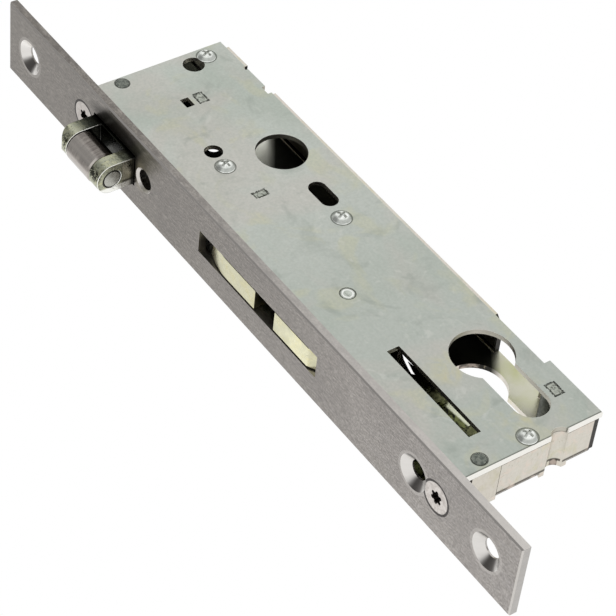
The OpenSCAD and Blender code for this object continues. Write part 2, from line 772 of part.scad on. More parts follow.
// Outline of the slide at rest, low in the case
module slide_2d() {
    head_top = pivot_z + pivot_d / 2 + slide_gap + 3.2;
    head_foot = drive_z - drive_pin_d / 2 - 2.6;
    difference() {
        union() {
            translate([spine_front, slide_foot]) square([spine_w, head_top - slide_foot]);
            translate([spine_front, head_foot]) square([drive_y + 4.4 - spine_front, head_top - head_foot]);
            for (s = [-1, 1]) block_2d((spine_back + tooth_y) / 2 - 0.5,
                notch_z + s * (cam_notch_h + tooth_h) / 2, tooth_y - spine_back + 1, tooth_h);
        }
        slot_2d(pivot_y, pivot_z - slide_travel - pivot_d / 2 - slide_gap,
            pivot_z + pivot_d / 2 + slide_gap, pivot_d + 2 * run_gap);
        translate([drive_y, drive_z]) circle(d = drive_pin_d + 2 * run_gap);
        for (z = stud_z) translate([guide_y, z]) circle(d = stud_d / 2 + 2 * run_gap);
        for (z = [0, slide_travel]) translate([spine_front, detent_z - z])
            rotate(45) square(1.8, center = true);
    }
}

module drive_slide() {
    color(zinc_yellow) across(slide_x0, slide_x1) slide_2d();
}

module drive_pin() {
    color(bright_steel) bar_x(slide_x0, bolt_t / 2, drive_y, drive_z, drive_pin_d);
}

module slide_studs() {
    color(bright_steel) for (z = stud_z) {
        bar_x(-outer_x + 0.2, slide_x0, guide_y, z, stud_d);
        bar_x(-outer_x + 0.2, slide_x1, guide_y, z, stud_d / 2);
    }
}

// Leaf spring that drops into the slide's notches
module detent_spring() {
    path = [[anchor_spot[0] + 1.1, anchor_spot[1] - 1.5], [anchor_spot[0] + 1.1, anchor_spot[1] + 2],
            [spine_front - 2.2, detent_z - 3], [spine_front + 0.1, detent_z],
            [spine_front - 2.2, detent_z + 3]];
    color(bright_steel) across(slide_x0, slide_x1) for (i = [0:len(path) - 2]) hull() {
        translate(path[i]) circle(d = leaf_t, $fn = 16);
        translate(path[i + 1]) circle(d = leaf_t, $fn = 16);
    }
}

module spring_anchor() {
    color(bright_steel) {
        bar_x(-outer_x, -inner_x, anchor_spot[0], anchor_spot[1], anchor_d);
        across(-inner_x, slide_x1) block_2d(anchor_spot[0] - 0.25, anchor_spot[1], 2.2, 4);
    }
}

module bolt_stop() {
    color(dark_steel) {
        across(-inner_x, inner_x) translate([bolt_back + 0.3, stop_bar[1] - 3]) square([5, 5.4]);
        across(-outer_x, outer_x) block_2d(stop_bar[0], stop_bar[1], stop_tenon[0], stop_tenon[1]);
    }
}

module rear_spacer() {
    color(dark_steel) {
        bar_x(-inner_x, inner_x, rear_bar[0], rear_bar[1], 6);
        across(-outer_x, outer_x) block_2d(rear_bar[0], rear_bar[1], rear_tenon[0], rear_tenon[1]);
    }
}

faceplate();
case_base();
case_cover();
faceplate_screws();
tapped_posts();
cover_screws();
screw_pillars();
roller();
roller_pin();
roller_fork();
fork_stem();
stem_nut();
stop_screw();
latch_spring();
spring_seat();
hook_bolt();
pivot_pin();
pivot_collar();
drive_slide();
drive_pin();
slide_studs();
detent_spring();
spring_anchor();
bolt_stop();
rear_spacer();
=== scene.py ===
# %% [markdown]
# # Roller door lock
# A narrow mortise lock: a long brushed faceplate, a slim zinc-plated sheet case, a
# sprung roller latch and a hook bolt. The CAD model gives every solid its shape and
# its place. This notebook rounds the edges, lays on the finishes, sets light and
# camera, and adds three small pieces. Lengths are in metres. +X goes through the
# case towards its cover, +Y into the door, and +Z up along the faceplate.

# %% Load the frame
import math

import bmesh
import bpy
from mathutils import Matrix, Vector


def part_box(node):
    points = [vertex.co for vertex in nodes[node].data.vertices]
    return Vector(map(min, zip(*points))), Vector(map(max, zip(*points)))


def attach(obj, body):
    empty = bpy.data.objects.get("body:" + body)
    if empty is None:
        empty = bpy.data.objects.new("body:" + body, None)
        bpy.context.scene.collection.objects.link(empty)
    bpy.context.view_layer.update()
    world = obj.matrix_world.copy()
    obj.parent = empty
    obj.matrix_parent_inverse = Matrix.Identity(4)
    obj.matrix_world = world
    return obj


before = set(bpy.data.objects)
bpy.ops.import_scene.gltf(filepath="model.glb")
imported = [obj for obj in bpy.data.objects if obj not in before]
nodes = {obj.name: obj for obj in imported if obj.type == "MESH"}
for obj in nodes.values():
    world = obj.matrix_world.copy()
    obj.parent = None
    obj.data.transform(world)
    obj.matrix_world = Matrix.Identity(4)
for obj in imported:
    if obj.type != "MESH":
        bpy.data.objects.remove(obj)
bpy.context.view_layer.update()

# %% [markdown]
# ## Camera
# The photograph looks at the lock from in front, from the cover's side and from a
# little below its foot. A long lens keeps the edges nearly parallel. A camera can be
# aimed by a constraint, but that leaves its roll open. Here the three axes are
# given, as solved from the lock's straight edges and holes.

# %% Camera
eye = Vector((0.440854, -0.281323, -0.368527))
right = Vector((0.08635302, 0.81667057, -0.57060700))
up = Vector((0.71425737, 0.34853495, 0.60692651))
camera = bpy.data.objects.new("camera", bpy.data.cameras.new("camera"))
bpy.context.scene.collection.objects.link(camera)
camera.data.sensor_width = 36
camera.data.lens = 143.052
camera.data.clip_start = 0.01
camera.data.clip_end = 20
axes = Matrix((right, up, right.cross(up))).transposed()
camera.matrix_world = Matrix.Translation(eye) @ axes.to_4x4()
bpy.context.scene.camera = camera
print("camera is", round(eye.length, 3), "m from the faceplate's middle")

# %% [markdown]
# ## A helper for nodes
# Floor, world, patterns and finishes are all graphs of nodes. This helper makes a
# node in one call: settings are its own properties, values are typed into its
# sockets, and feeds are wires from other nodes. A socket is called by its name, or
# by its number where two of them share a name.


# %% Node helper
def add(tree, kind, feeds=None, values=None, **settings):
    """Adds a node to a tree, with its settings, typed values and incoming wires."""
    node = tree.nodes.new(kind)
    for key, value in settings.items():
        setattr(node, key, value)
    for socket, value in (values or {}).items():
        node.inputs[socket].default_value = value
    for socket, source in (feeds or {}).items():
        tree.links.new(source, node.inputs[socket])
    return node


def grey(level):
    return level, level, level, 1


print("grey card:", grey(0.86))

# %% [markdown]
# ## Floor and light
# The ground is a plain, pale sheet that takes the lock's shadow. The photograph
# looks up from below it, so it has to let the camera through from that side:
# Backfacing picks a clear shader there. In mirrored rays the floor glows white,
# so that the metal doesn't show a grey band along the horizon.

# %% Floor
scene = bpy.context.scene
scene.view_settings.view_transform = "Standard"
floor_z, floor_half = -0.1185, 3.0
corners = [(-1, -1), (1, -1), (1, 1), (-1, 1)]
floor_mesh = bpy.data.meshes.new("floor")
floor_mesh.from_pydata([(x * floor_half, y * floor_half, floor_z) for x, y in corners],
                       [], [(0, 1, 2, 3)])
floor = bpy.data.objects.new("floor", floor_mesh)
scene.collection.objects.link(floor)

floor_paint = bpy.data.materials.new("floor")
floor_paint.use_nodes = True
tree = floor_paint.node_tree
tree.nodes.clear()
pale = add(tree, "ShaderNodeBsdfDiffuse", values={"Color": grey(0.86)})
glow = add(tree, "ShaderNodeEmission", values={"Color": grey(1), "Strength": 1})
clear = add(tree, "ShaderNodeBsdfTransparent")
rays = add(tree, "ShaderNodeLightPath").outputs
side = add(tree, "ShaderNodeNewGeometry").outputs
shown = add(tree, "ShaderNodeMixShader",
            {0: rays["Is Glossy Ray"], 1: pale.outputs[0], 2: glow.outputs[0]})
pick = add(tree, "ShaderNodeMixShader",
           {0: side["Backfacing"], 1: shown.outputs[0], 2: clear.outputs[0]})
add(tree, "ShaderNodeOutputMaterial", {"Surface": pick.outputs[0]})
floor_mesh.materials.append(floor_paint)
print("floor at", floor_z)

# %% [markdown]
# ### World
# Bare metal shows what it mirrors, so the world works like a light tent. The
# camera sees plain white behind the lock. Mirrored rays see white too, with a grey
# zone high in front, which gives the flat sheets their tone. All other rays bring a
# soft grey light. Light Path tells the rays apart, so that the white background
# puts no extra light on the lock.

# %% World
world = bpy.data.worlds.new("studio")
scene.world = world
world.use_nodes = True
tree = world.node_tree
tree.nodes.clear()
soft = add(tree, "ShaderNodeBackground", values={"Color": grey(0.88), "Strength": 1})
white = add(tree, "ShaderNodeBackground", values={"Color": grey(1), "Strength": 1})

zone_middle = Vector((0.45, -0.70, 0.55)).normalized()
aim = add(tree, "ShaderNodeTexCoord").outputs
toward = add(tree, "ShaderNodeVectorMath", {0: aim["Generated"]}, {1: zone_middle},
             operation="DOT_PRODUCT")
zone = add(tree, "ShaderNodeMapRange", {"Value": toward.outputs["Value"]},
           {"From Min": 0.76, "From Max": 0.90, "To Min": 1.0, "To Max": 0.45},
           interpolation_type="SMOOTHSTEP")
tent = add(tree, "ShaderNodeBackground", {"Color": zone.outputs[0]}, {"Strength": 1})

rays = add(tree, "ShaderNodeLightPath").outputs
mirrored = add(tree, "ShaderNodeMixShader",
               {0: rays["Is Glossy Ray"], 1: soft.outputs[0], 2: tent.outputs[0]})
behind = add(tree, "ShaderNodeMath",
             {0: rays["Is Camera Ray"], 1: rays["Is Transmission Ray"]}, operation="MAXIMUM")
around = add(tree, "ShaderNodeMixShader",
             {0: behind.outputs[0], 1: mirrored.outputs[0], 2: white.outputs[0]})
add(tree, "ShaderNodeOutputWorld", {"Surface": around.outputs[0]})
print("world: soft grey light, white behind")

# %% [markdown]
# ### Lamps
# Two large square lamps draw the edges. One shines up at the foot of the case,
# which the photograph shows brightly lit. A weak one on the other side keeps the
# back of the base from going flat. Area lamps are used, because their soft edge is
# what the metal mirrors.


# %% Lamps
def lamp(name, direction, distance, size, watts):
    """A square lamp at a distance from the lock, aimed at its middle."""
    data = bpy.data.lights.new(name, "AREA")
    data.shape = "SQUARE"
    data.size = size
    data.energy = watts
    obj = bpy.data.objects.new(name, data)
    scene.collection.objects.link(obj)
    obj.location = Vector(direction).normalized() * distance
    obj.rotation_euler = (-obj.location).to_track_quat("-Z", "Y").to_euler()
    return obj


lamps = [
    lamp("lamp_foot", (0.55, 0.46, -0.69), 0.9, 0.30, 0.9),
    lamp("lamp_low", (-0.80, -0.52, 0.30), 1.0, 0.45, 0.25),
]
print("lamps:", len(lamps))

# %% [markdown]
# ## Edges
# Stamped sheet, milled bars and turned pins never have knife edges. The CAD solids
# come as loose triangles, each with its own corners, and a bevel would round
# nothing on them. A small Geometry Nodes group first joins the corners that meet
# and shades the shallow bends of round faces smoothly.

# %% Join faces
joiner = bpy.data.node_groups.new("join_faces", "GeometryNodeTree")
joiner.is_modifier = True
for way in ("INPUT", "OUTPUT"):
    joiner.interface.new_socket("Geometry", in_out=way, socket_type="NodeSocketGeometry")
joint_gap, round_bend = 2e-6, math.radians(28)
start = add(joiner, "NodeGroupInput")
drop = add(joiner, "GeometryNodeRemoveAttribute", {0: start.outputs[0]},
           {"Name": "custom_normal"})
merge = add(joiner, "GeometryNodeMergeByDistance", {"Geometry": drop.outputs[0]},
            {"Distance": joint_gap})
smooth = add(joiner, "GeometryNodeSetShadeSmooth", {"Geometry": merge.outputs["Geometry"]},
             domain="FACE")
bend = add(joiner, "GeometryNodeInputMeshEdgeAngle")
shallow = add(joiner, "FunctionNodeCompare", {0: bend.outputs["Unsigned Angle"]},
              {1: round_bend}, data_type="FLOAT", operation="LESS_THAN")
creased = add(joiner, "GeometryNodeSetShadeSmooth",
              {"Geometry": smooth.outputs["Geometry"], "Shade Smooth": shallow.outputs[0]},
              domain="EDGE")
add(joiner, "NodeGroupOutput", {0: creased.outputs["Geometry"]})
print("faces are joined within", joint_gap, "m")

# %% [markdown]
# Each of the larger solids then gets three modifiers: the join, a dissolve that
# makes one face of every flat side, and a small bevel, which catches a thin bright
# line as on the real lock. Rounding them in the CAD model would cost many faces
# for edges of a few tenths of a millimetre. The bolt and the fork are castings, so
# their edges are the roundest.


# %% Round the edges
def round_edges(name, width):
    obj = nodes[name]
    join = obj.modifiers.new("join", "NODES")
    join.node_group = joiner
    flat = obj.modifiers.new("flat_faces", "DECIMATE")
    flat.decimate_type = "DISSOLVE"
    flat.angle_limit = math.radians(1)
    bevel = obj.modifiers.new("edges", "BEVEL")
    bevel.limit_method = "ANGLE"
    bevel.angle_limit = math.radians(30)
    bevel.width = width
    bevel.segments = 2
    bevel.use_clamp_overlap = True
    bevel.harden_normals = True
    bevel.miter_outer = "MITER_ARC"


edge_width = {
    "faceplate": 0.00022, "case_base": 0.00014, "case_cover": 0.0002, "hook_bolt": 0.0004,
    "roller_fork": 0.00045, "drive_slide": 0.0002, "spring_seat": 0.00015,
    "bolt_stop": 0.0002, "rear_spacer": 0.0002, "roller": 0.00012, "roller_pin": 0.0003,
    "pivot_pin": 0.00015, "tapped_posts": 0.00015, "faceplate_screws": 0.00006,
    "cover_screws": 0.00006,
}
for name, width in edge_width.items():
    round_edges(name, width)
print("edges rounded on", len(edge_width), "nodes")

# %% [markdown]
# ## Patterns
# Every finish on this lock is bare or plated metal. What tells them apart is how
# colour, roughness and fine relief change over the surface. A picture of metal would
# stretch over edges and end at its borders. These patterns are worked out from the
# place on the lock, so they run through every face and hole. Each is a shader
# group, so that finishes can share it.


# %% Pattern helpers
def pattern(name, outputs=("Mask",), **inputs):
    """A group with inputs of one number or three, its inputs, and the surface's place."""
    group = bpy.data.node_groups.new(name, "ShaderNodeTree")
    for label, value in inputs.items():
        kind = "NodeSocketVector" if isinstance(value, tuple) else "NodeSocketFloat"
        socket = group.interface.new_socket(label, in_out="INPUT", socket_type=kind)
        socket.default_value = value
    for label in outputs:
        group.interface.new_socket(label, in_out="OUTPUT", socket_type="NodeSocketFloat")
    return group, add(group, "NodeGroupInput").outputs, add(group, "ShaderNodeTexCoord").outputs


def vector(group, operation, *wires):
    """A Vector Math node's result: its number where it makes one, else its vector."""
    node = add(group, "ShaderNodeVectorMath", dict(enumerate(wires)), operation=operation)
    return node.outputs["Value" if operation in ("LENGTH", "DOT_PRODUCT") else "Vector"]


def number(group, operation, *wires):
    """A Math node's result."""
    return add(group, "ShaderNodeMath", dict(enumerate(wires)), operation=operation).outputs[0]


def between(group, value, low, high, way="LINEAR"):
    """0 where the value is at low, 1 where it is at high."""
    return add(group, "ShaderNodeMapRange", {"Value": value, "From Min": low, "From Max": high},
               interpolation_type=way).outputs[0]


print("pattern helpers ready")

# %% [markdown]
# ### Brush lines
# Grinding, rolling and turning all leave fine parallel lines. They are noise whose
# place is stretched: Across gives the steps per metre for each axis, many across
# the lines and few along them. So one group serves the faceplate's long grain, the
# rings of the turned roller and the drawn sheet.

# %% Brush lines
lines_group, given, place = pattern("brush_lines", Across=(3000, 3000, 60), Low=0.35, High=0.65)
stretched = vector(lines_group, "MULTIPLY", place["Object"], given["Across"])
noise = add(lines_group, "ShaderNodeTexNoise", {"Vector": stretched},
            {"Scale": 1, "Detail": 3, "Roughness": 0.6})
mask = between(lines_group, noise.outputs["Fac"], given["Low"], given["High"])
add(lines_group, "NodeGroupOutput", {"Mask": mask})
print("made", lines_group.name)

# %% [markdown]
# ### Clouds
# Plating stains, passivation, worn patches and the finest specks are all soft,
# uneven patches of different size. Warp pulls the noise into streaks, Low and High
# set how hard its borders are, and Seed moves to another part of it, so that two
# layers never share their borders.

# %% Clouds
clouds_group, given, place = pattern(
    "clouds", Scale=60, Detail=4, Warp=0.4, Low=0.4, High=0.6, Seed=0)
noise = add(clouds_group, "ShaderNodeTexNoise",
            {"Vector": place["Object"], "Scale": given["Scale"], "Detail": given["Detail"],
             "Distortion": given["Warp"], "W": given["Seed"]}, noise_dimensions="4D")
mask = between(clouds_group, noise.outputs["Fac"], given["Low"], given["High"])
add(clouds_group, "NodeGroupOutput", {"Mask": mask})
print("made", clouds_group.name)

# %% [markdown]
# ### Soft spot
# A stain, or the dull place beside a part that rubs, sits in one spot. The spot is
# an ellipsoid round Centre: 1 inside, and 0 from its Reach on. Edge tells at what
# share of the reach the fading starts.

# %% Soft spot
spot_group, given, place = pattern(
    "soft_spot", Centre=(0, 0, 0), Reach=(0.01, 0.01, 0.01), Edge=0.3)
away = vector(spot_group, "SUBTRACT", place["Object"], given["Centre"])
share = vector(spot_group, "DIVIDE", away, given["Reach"])
length = vector(spot_group, "LENGTH", share)
fade = add(spot_group, "ShaderNodeMapRange", {"Value": length, "From Max": given["Edge"]},
           {"From Min": 1}, interpolation_type="SMOOTHSTEP")
add(spot_group, "NodeGroupOutput", {"Mask": fade.outputs[0]})
print("made", spot_group.name)

# %% [markdown]
# ### Ring
# Dirt and shadow gather in a thin ring round every screw head, riveted end and
# countersink. Flatten has a 0 for the axis that the ring goes round, which leaves
# it out of the distance. The group gives the ring itself and all that lies inside.

# %% Ring
ring_group, given, place = pattern(
    "ring", ("Mask", "Inside"), Centre=(0, 0, 0), Flatten=(0, 1, 1), Radius=0.002, Width=0.0003)
away = vector(ring_group, "SUBTRACT", place["Object"], given["Centre"])
length = vector(ring_group, "LENGTH", vector(ring_group, "MULTIPLY", away, given["Flatten"]))
inside = number(ring_group, "LESS_THAN", length, given["Radius"])
close = number(ring_group, "COMPARE", length, given["Radius"], given["Width"])
add(ring_group, "NodeGroupOutput", {"Mask": close, "Inside": inside})
print("made", ring_group.name)

# %% [markdown]
# ### Ramp and facing
# Two small groups pick out parts of a solid, where the real one is cut or bent in
# one place only, or where shade or a highlight is painted on one place. The ramp goes
# from 0 at From to 1 at To, along any axis.
# Facing is 1 where the surface looks about along an axis: Middle is the cosine of
# the angle that is wanted, and Reach how far it may be off.

# %% Ramp and facing
ramp_group, given, place = pattern("ramp", Axis=(0, 0, 1), From=0, To=1)
along = vector(ramp_group, "DOT_PRODUCT", place["Object"], given["Axis"])
mask = between(ramp_group, along, given["From"], given["To"])
add(ramp_group, "NodeGroupOutput", {"Mask": mask})

facing_group, given, place = pattern("facing", Axis=(1, 0, 0), Middle=0.7, Reach=0.3)
along = vector(facing_group, "DOT_PRODUCT", place["Normal"], given["Axis"])
close = number(facing_group, "COMPARE", along, given["Middle"], given["Reach"])
add(facing_group, "NodeGroupOutput", {"Mask": close})
print("made", ramp_group.name, "and", facing_group.name)

# %% [markdown]
# ### Rectangle
# Three flat bars pass through windows in the cover, and a dark gap shows round each
# end. Half is half the window's width and height. The distance outside the nearer
# side is 0 right on the outline, so comparing it with 0 draws the line.

# %% Rectangle
window_group, given, place = pattern(
    "rectangle", Centre=(0, 0, 0), Half=(1, 0.001, 0.001), Width=0.0002)
away = vector(window_group, "SUBTRACT", place["Object"], given["Centre"])
over = vector(window_group, "SUBTRACT", vector(window_group, "ABSOLUTE", away), given["Half"])
parts = add(window_group, "ShaderNodeSeparateXYZ", {0: over}).outputs
most = number(window_group, "MAXIMUM", parts["Y"], parts["Z"])
close = add(window_group, "ShaderNodeMath", {0: most, 2: given["Width"]}, {1: 0},
            operation="COMPARE")
add(window_group, "NodeGroupOutput", {"Mask": close.outputs[0]})
print("made", window_group.name)

# %% [markdown]
# ### Sectors
# A countersink is turned, so its cone mirrors the room in bright and dark sectors
# that meet at its middle. They are a wave of the angle round Centre, seen along Y.
# Count is the number of dark sectors, and Turn moves them round.

# %% Sectors
sector_group, given, place = pattern(
    "sectors", Centre=(0, 0, 0), Turn=0, Count=1, Low=-0.2, High=0.4)
away = vector(sector_group, "SUBTRACT", place["Object"], given["Centre"])
parts = add(sector_group, "ShaderNodeSeparateXYZ", {0: away}).outputs
angle = number(sector_group, "ARCTAN2", parts["Z"], parts["X"])
turned = number(sector_group, "MULTIPLY_ADD", angle, given["Count"], given["Turn"])
wave = number(sector_group, "SINE", turned)
mask = between(sector_group, wave, given["Low"], given["High"], "SMOOTHSTEP")
add(sector_group, "NodeGroupOutput", {"Mask": mask})
print("made", sector_group.name)

# %% [markdown]
# ## How a finish is built
# A finish is one metallic Principled shader. It starts from a plain colour, and
# each layer lays another colour over it where a mask is 1. Most layers are as a
# plater or a fitter would leave them: first the plating, then its stains, then cut
# edges and dirt. Others are painted shade, painted highlights and painted
# reflections. The same masks also drive roughness and a very shallow bump. Metals
# get all their colour from Base Color, so the layers go there and nowhere else.
# Colours are given in screen values, and turned into the linear ones that a shader
# wants.


# %% Metal maker
def tone(r, g, b):
    """A colour given in screen values from 0 to 255, as the shader's linear colour."""
    return tuple(((v / 255 + 0.055) / 1.055) ** 2.4 if v > 10.3 else v / 255 / 12.92
                 for v in (r, g, b)) + (1,)


class Metal:
    """One metallic finish: a base colour, then layers of colour laid on by masks."""

    def __init__(self, name, screen, roughness):
        self.material = bpy.data.materials.new(name)
        self.material.use_nodes = True
        self.tree = self.material.node_tree
        self.shader = self.tree.nodes["Principled BSDF"]
        self.base = tone(*screen)
        self.colour = None
        self.shader.inputs["Metallic"].default_value = 1
        self.shader.inputs["Roughness"].default_value = roughness
        self.shader.inputs["Base Color"].default_value = self.base

    def mask(self, group, output="Mask", **values):
        """One of the patterns, with this finish's own values."""
        return add(self.tree, "ShaderNodeGroup", None, values, node_tree=group).outputs[output]

    def ramp(self, axis, start, end):
        """0 at start and 1 at end, measured along an axis."""
        return self.mask(ramp_group, Axis=axis, From=start, To=end)

    def facing(self, axis, middle, reach):
        """1 where the cosine between surface and axis is within reach of middle."""
        return self.mask(facing_group, Axis=axis, Middle=middle, Reach=reach)

    def meet(self, mask, *others):
        """Where all the masks meet."""
        for other in others:
            mask = number(self.tree, "MULTIPLY", mask, other)
        return mask

    def layer(self, mask, screen, amount=1.0):
        """Lays a colour over what is there, by mask times amount."""
        share = add(self.tree, "ShaderNodeMath", {0: mask}, {1: amount}, operation="MULTIPLY")
        mix = add(self.tree, "ShaderNodeMix", {"Factor": share.outputs[0]},
                  {"A": self.base, "B": tone(*screen)}, data_type="RGBA")
        if self.colour:
            self.tree.links.new(self.colour, mix.inputs["A"])
        self.colour = mix.outputs["Result"]
        self.tree.links.new(self.colour, self.shader.inputs["Base Color"])

    def patches(self, screen, amount, **cloud):
        """Lays a colour on in cloudy patches, and gives back their mask."""
        mask = self.mask(clouds_group, **cloud)
        self.layer(mask, screen, amount)
        return mask

    def rough(self, mask, low, high):
        """Roughness from low where the mask is 0 to high where it is 1."""
        spread = add(self.tree, "ShaderNodeMapRange", {"Value": mask},
                     {"To Min": low, "To Max": high})
        self.tree.links.new(spread.outputs[0], self.shader.inputs["Roughness"])

    def relief(self, mask, depth, strength):
        """A bump as deep as depth where the mask is 1."""
        bump = add(self.tree, "ShaderNodeBump", {"Height": mask},
                   {"Distance": depth, "Strength": strength})
        self.tree.links.new(bump.outputs["Normal"], self.shader.inputs["Normal"])


OUT, IN = (1, 0, 0), (-1, 0, 0)
BACK, FRONT = (0, 1, 0), (0, -1, 0)
UP, DOWN = (0, 0, 1), (0, 0, -1)
print("middle grey as a linear colour:", round(tone(128, 128, 128)[0], 3))

# %% [markdown]
# ## Faceplate
# The faceplate is rolled stainless strip, ground lengthwise on a belt. The belt
# leaves long lines, finer ones between them and an uneven tone. Painted light makes
# it paler towards the foot. Shading it as one tilted gloss would need tangents, which
# the CAD faces don't have. Two layers of lines give the same grain from every side.

# %% Faceplate surface
stainless = Metal("stainless_plate", (146, 141, 134), 0.36)
# Painted light: the plate is laid on paler towards the foot.
paler_foot_painted_light = stainless.ramp(UP, 0.055, -0.118)
long_lines = stainless.mask(lines_group, Across=(1300, 400, 40), Low=0.36, High=0.64)
fine_lines = stainless.mask(lines_group, Across=(2700, 900, 420), Low=0.36, High=0.64)
stainless.layer(paler_foot_painted_light, (178, 173, 169))
stainless.patches((108, 105, 104), 0.3, Scale=45, Detail=3, Warp=0.5, Low=0.35, High=0.65, Seed=3)
stainless.layer(long_lines, (190, 184, 176), 0.40)
stainless.layer(fine_lines, (78, 74, 72), 0.50)
stainless.patches((88, 84, 82), 0.42, Scale=1900, Detail=3, Warp=0, Low=0.40, High=0.60)
stainless.rough(long_lines, 0.30, 0.42)
stainless.relief(fine_lines, 0.00003, 0.4)
print("faceplate surface laid on")

# %% [markdown]
# Beside the fork the strip is painted dark as shade, and just below it lies a pale
# painted reflection of the fork. Its long edges are broken with a file and get a
# painted highlight on their bevels, and its sides and ends keep the paler, sawn
# surface. The facing masks find them, so the bevel modifier's narrow faces get their
# own tone without any being chosen by hand.

# %% Faceplate edges
# Painted shade: a dark patch on the plate beside the fork.
painted_shade_beside_fork = stainless.mask(spot_group, Centre=(0.0072, 0, 0.0590),
                             Reach=(0.0042, 0.004, 0.0170), Edge=0.55)
stainless.layer(painted_shade_beside_fork, (52, 49, 45), 0.75)
# Painted reflection: a pale cream patch on the plate below the fork.
painted_reflection_below_fork = stainless.mask(spot_group, Centre=(0.0, 0, 0.0475),
                            Reach=(0.0060, 0.004, 0.0042), Edge=0.3)
stainless.layer(painted_reflection_below_fork, (178, 170, 148), 0.5)
cover_side = stainless.facing(OUT, 1, 0.15)
# The plate's side takes its paler sawn tone only towards the foot, by the same painted light.
stainless.layer(stainless.meet(cover_side, paler_foot_painted_light), (214, 210, 205), 0.8)
# Painted highlight: the bevels of the long edges are laid on paler, in two tones.
slanted = stainless.facing(FRONT, 0.62, 0.33)
stainless.layer(slanted, (216, 212, 207), 0.85)
for across in (1, -1):
    long_edge = stainless.facing((0.707 * across, -0.707, 0), 1, 0.12)
    stainless.layer(long_edge, (178, 174, 170), 0.8)
foot_end = stainless.facing(UP, -1, 0.2)
stainless.layer(foot_end, (190, 187, 183), 0.85)
print("faceplate edges laid on")

# %% [markdown]
# The two end holes and the cylinder screw's hole are countersunk after grinding.
# Their cones are painted bright, with dark sectors of painted reflection, and a faint
# worn lip outside. A thin black line of painted shade runs round the heads of the two
# plate screws.

# %% Countersinks and screw seats
round_y = (1, 0, 1)
end_hole_z, cylinder_screw_z, plate_screws_z = 0.1065, -0.0776, (0.0767, -0.0868)
cone_r, lip_r, seat_r = 0.0053, 0.0056, 0.0047
front = stainless.facing(FRONT, 1, 0.1)
sector_turn = {end_hole_z: 2.2, -end_hole_z: 0.9, cylinder_screw_z: 0.9}
for z, turn in sector_turn.items():
    lip = stainless.mask(ring_group, Centre=(0, 0, z), Flatten=round_y, Radius=lip_r,
                         Width=0.0005)
    stainless.layer(stainless.meet(lip, front), (186, 182, 177), 0.35)
    cone = stainless.mask(ring_group, output="Inside", Centre=(0, 0, z), Flatten=round_y,
                          Radius=cone_r)
    # Painted reflection: the cone is laid on bright, then dark sectors over it.
    cone = stainless.meet(cone, slanted)
    stainless.layer(cone, (226, 223, 219))
    painted_reflection_sectors = stainless.mask(sector_group, Centre=(0, 0, z), Turn=turn, Count=2,
                           Low=0.1, High=0.9)
    stainless.layer(stainless.meet(cone, painted_reflection_sectors), (62, 58, 55), 0.9)
# Painted shade: a thin black line in the gap round each plate screw's head.
for z in plate_screws_z:
    seat = stainless.mask(ring_group, Centre=(0, 0, z), Flatten=round_y, Radius=seat_r,
                          Width=0.0004)
    stainless.layer(stainless.meet(seat, front), (38, 34, 32), 0.9)
print("countersinks:", len(sector_turn))

# %% [markdown]
# ## Case
# The case is cold-rolled sheet, zinc plated after stamping. The plating on the
# cover is grey-green and dull, a little darker towards the foot, with pink and
# straw-yellow stains, drawing lines and scuffs. Each is a cloud layer of its own
# size, because one noise can't be both a stain and a speck.

# %% Cover plating
cover_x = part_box("case_cover")[1][0]
zinc = Metal("zinc_cover", (198, 203, 196), 0.42)
darker_foot = zinc.ramp(UP, 0.0500, -0.0600)
zinc.layer(darker_foot, (176, 182, 175), 0.8)
drift = zinc.patches((181, 190, 180), 0.7,
                     Scale=22, Detail=5, Warp=0.8, Low=0.38, High=0.62, Seed=1)
zinc.patches((202, 194, 187), 0.5, Scale=34, Detail=5, Warp=1.2, Low=0.48, High=0.60, Seed=7)
zinc.patches((200, 199, 166), 0.45, Scale=60, Detail=5, Warp=1.6, Low=0.54, High=0.64, Seed=12)
drawn = zinc.mask(lines_group, Across=(500, 1400, 60), Low=0.35, High=0.65)
zinc.layer(drawn, (194, 196, 189), 0.35)
speck = zinc.patches((164, 170, 161), 0.3,
                     Scale=1500, Detail=2, Warp=0, Low=0.35, High=0.65, Seed=4)
zinc.patches((208, 209, 202), 0.4, Scale=170, Detail=6, Warp=2.2, Low=0.60, High=0.70, Seed=9)
stained = zinc.mask(clouds_group, Scale=120, Detail=5, Warp=2.0, Low=0.40, High=0.60, Seed=14)
for y, z in ((0.0234, -0.0585), (0.0290, -0.0800)):
    beside_slot = zinc.mask(spot_group, Centre=(cover_x, y, z),
                            Reach=(0.004, 0.0075, 0.0075), Edge=0.2)
    zinc.layer(zinc.meet(beside_slot, stained), (202, 196, 156), 0.6)
zinc.patches((150, 157, 149), 0.45, Scale=48, Detail=6, Warp=3.0, Low=0.56, High=0.70, Seed=71)
zinc.rough(drift, 0.38, 0.48)
zinc.relief(speck, 0.00002, 0.25)
print("cover plating laid on, its face at x", round(cover_x, 4))

# %% [markdown]
# Shearing leaves the sheet's cut walls yellower, and its rounded rims get a painted
# highlight. The foot ends in a white edge of painted highlight with a thin grey line
# before it. Below the latch, the cover's inside is painted black as shade, and it
# shows as darkness through the holes.

# %% Cover edges and inside
cut = zinc.facing(OUT, 0, 0.3)
zinc.layer(cut, (196, 192, 180), 0.9)
line_before_foot = zinc.ramp(UP, -0.0894, -0.0896)
zinc.layer(line_before_foot, (104, 106, 98), 0.8)
# Painted highlight: a white line along the cover's foot edge.
painted_highlight_foot_edge = zinc.ramp(UP, -0.0898, -0.0899)
zinc.layer(painted_highlight_foot_edge, (252, 250, 244), 0.95)
# Painted highlight on the cover's rounded rims.
painted_highlight_rims = zinc.facing(OUT, 0.66, 0.31)
zinc.layer(painted_highlight_rims, (250, 248, 240), 0.9)
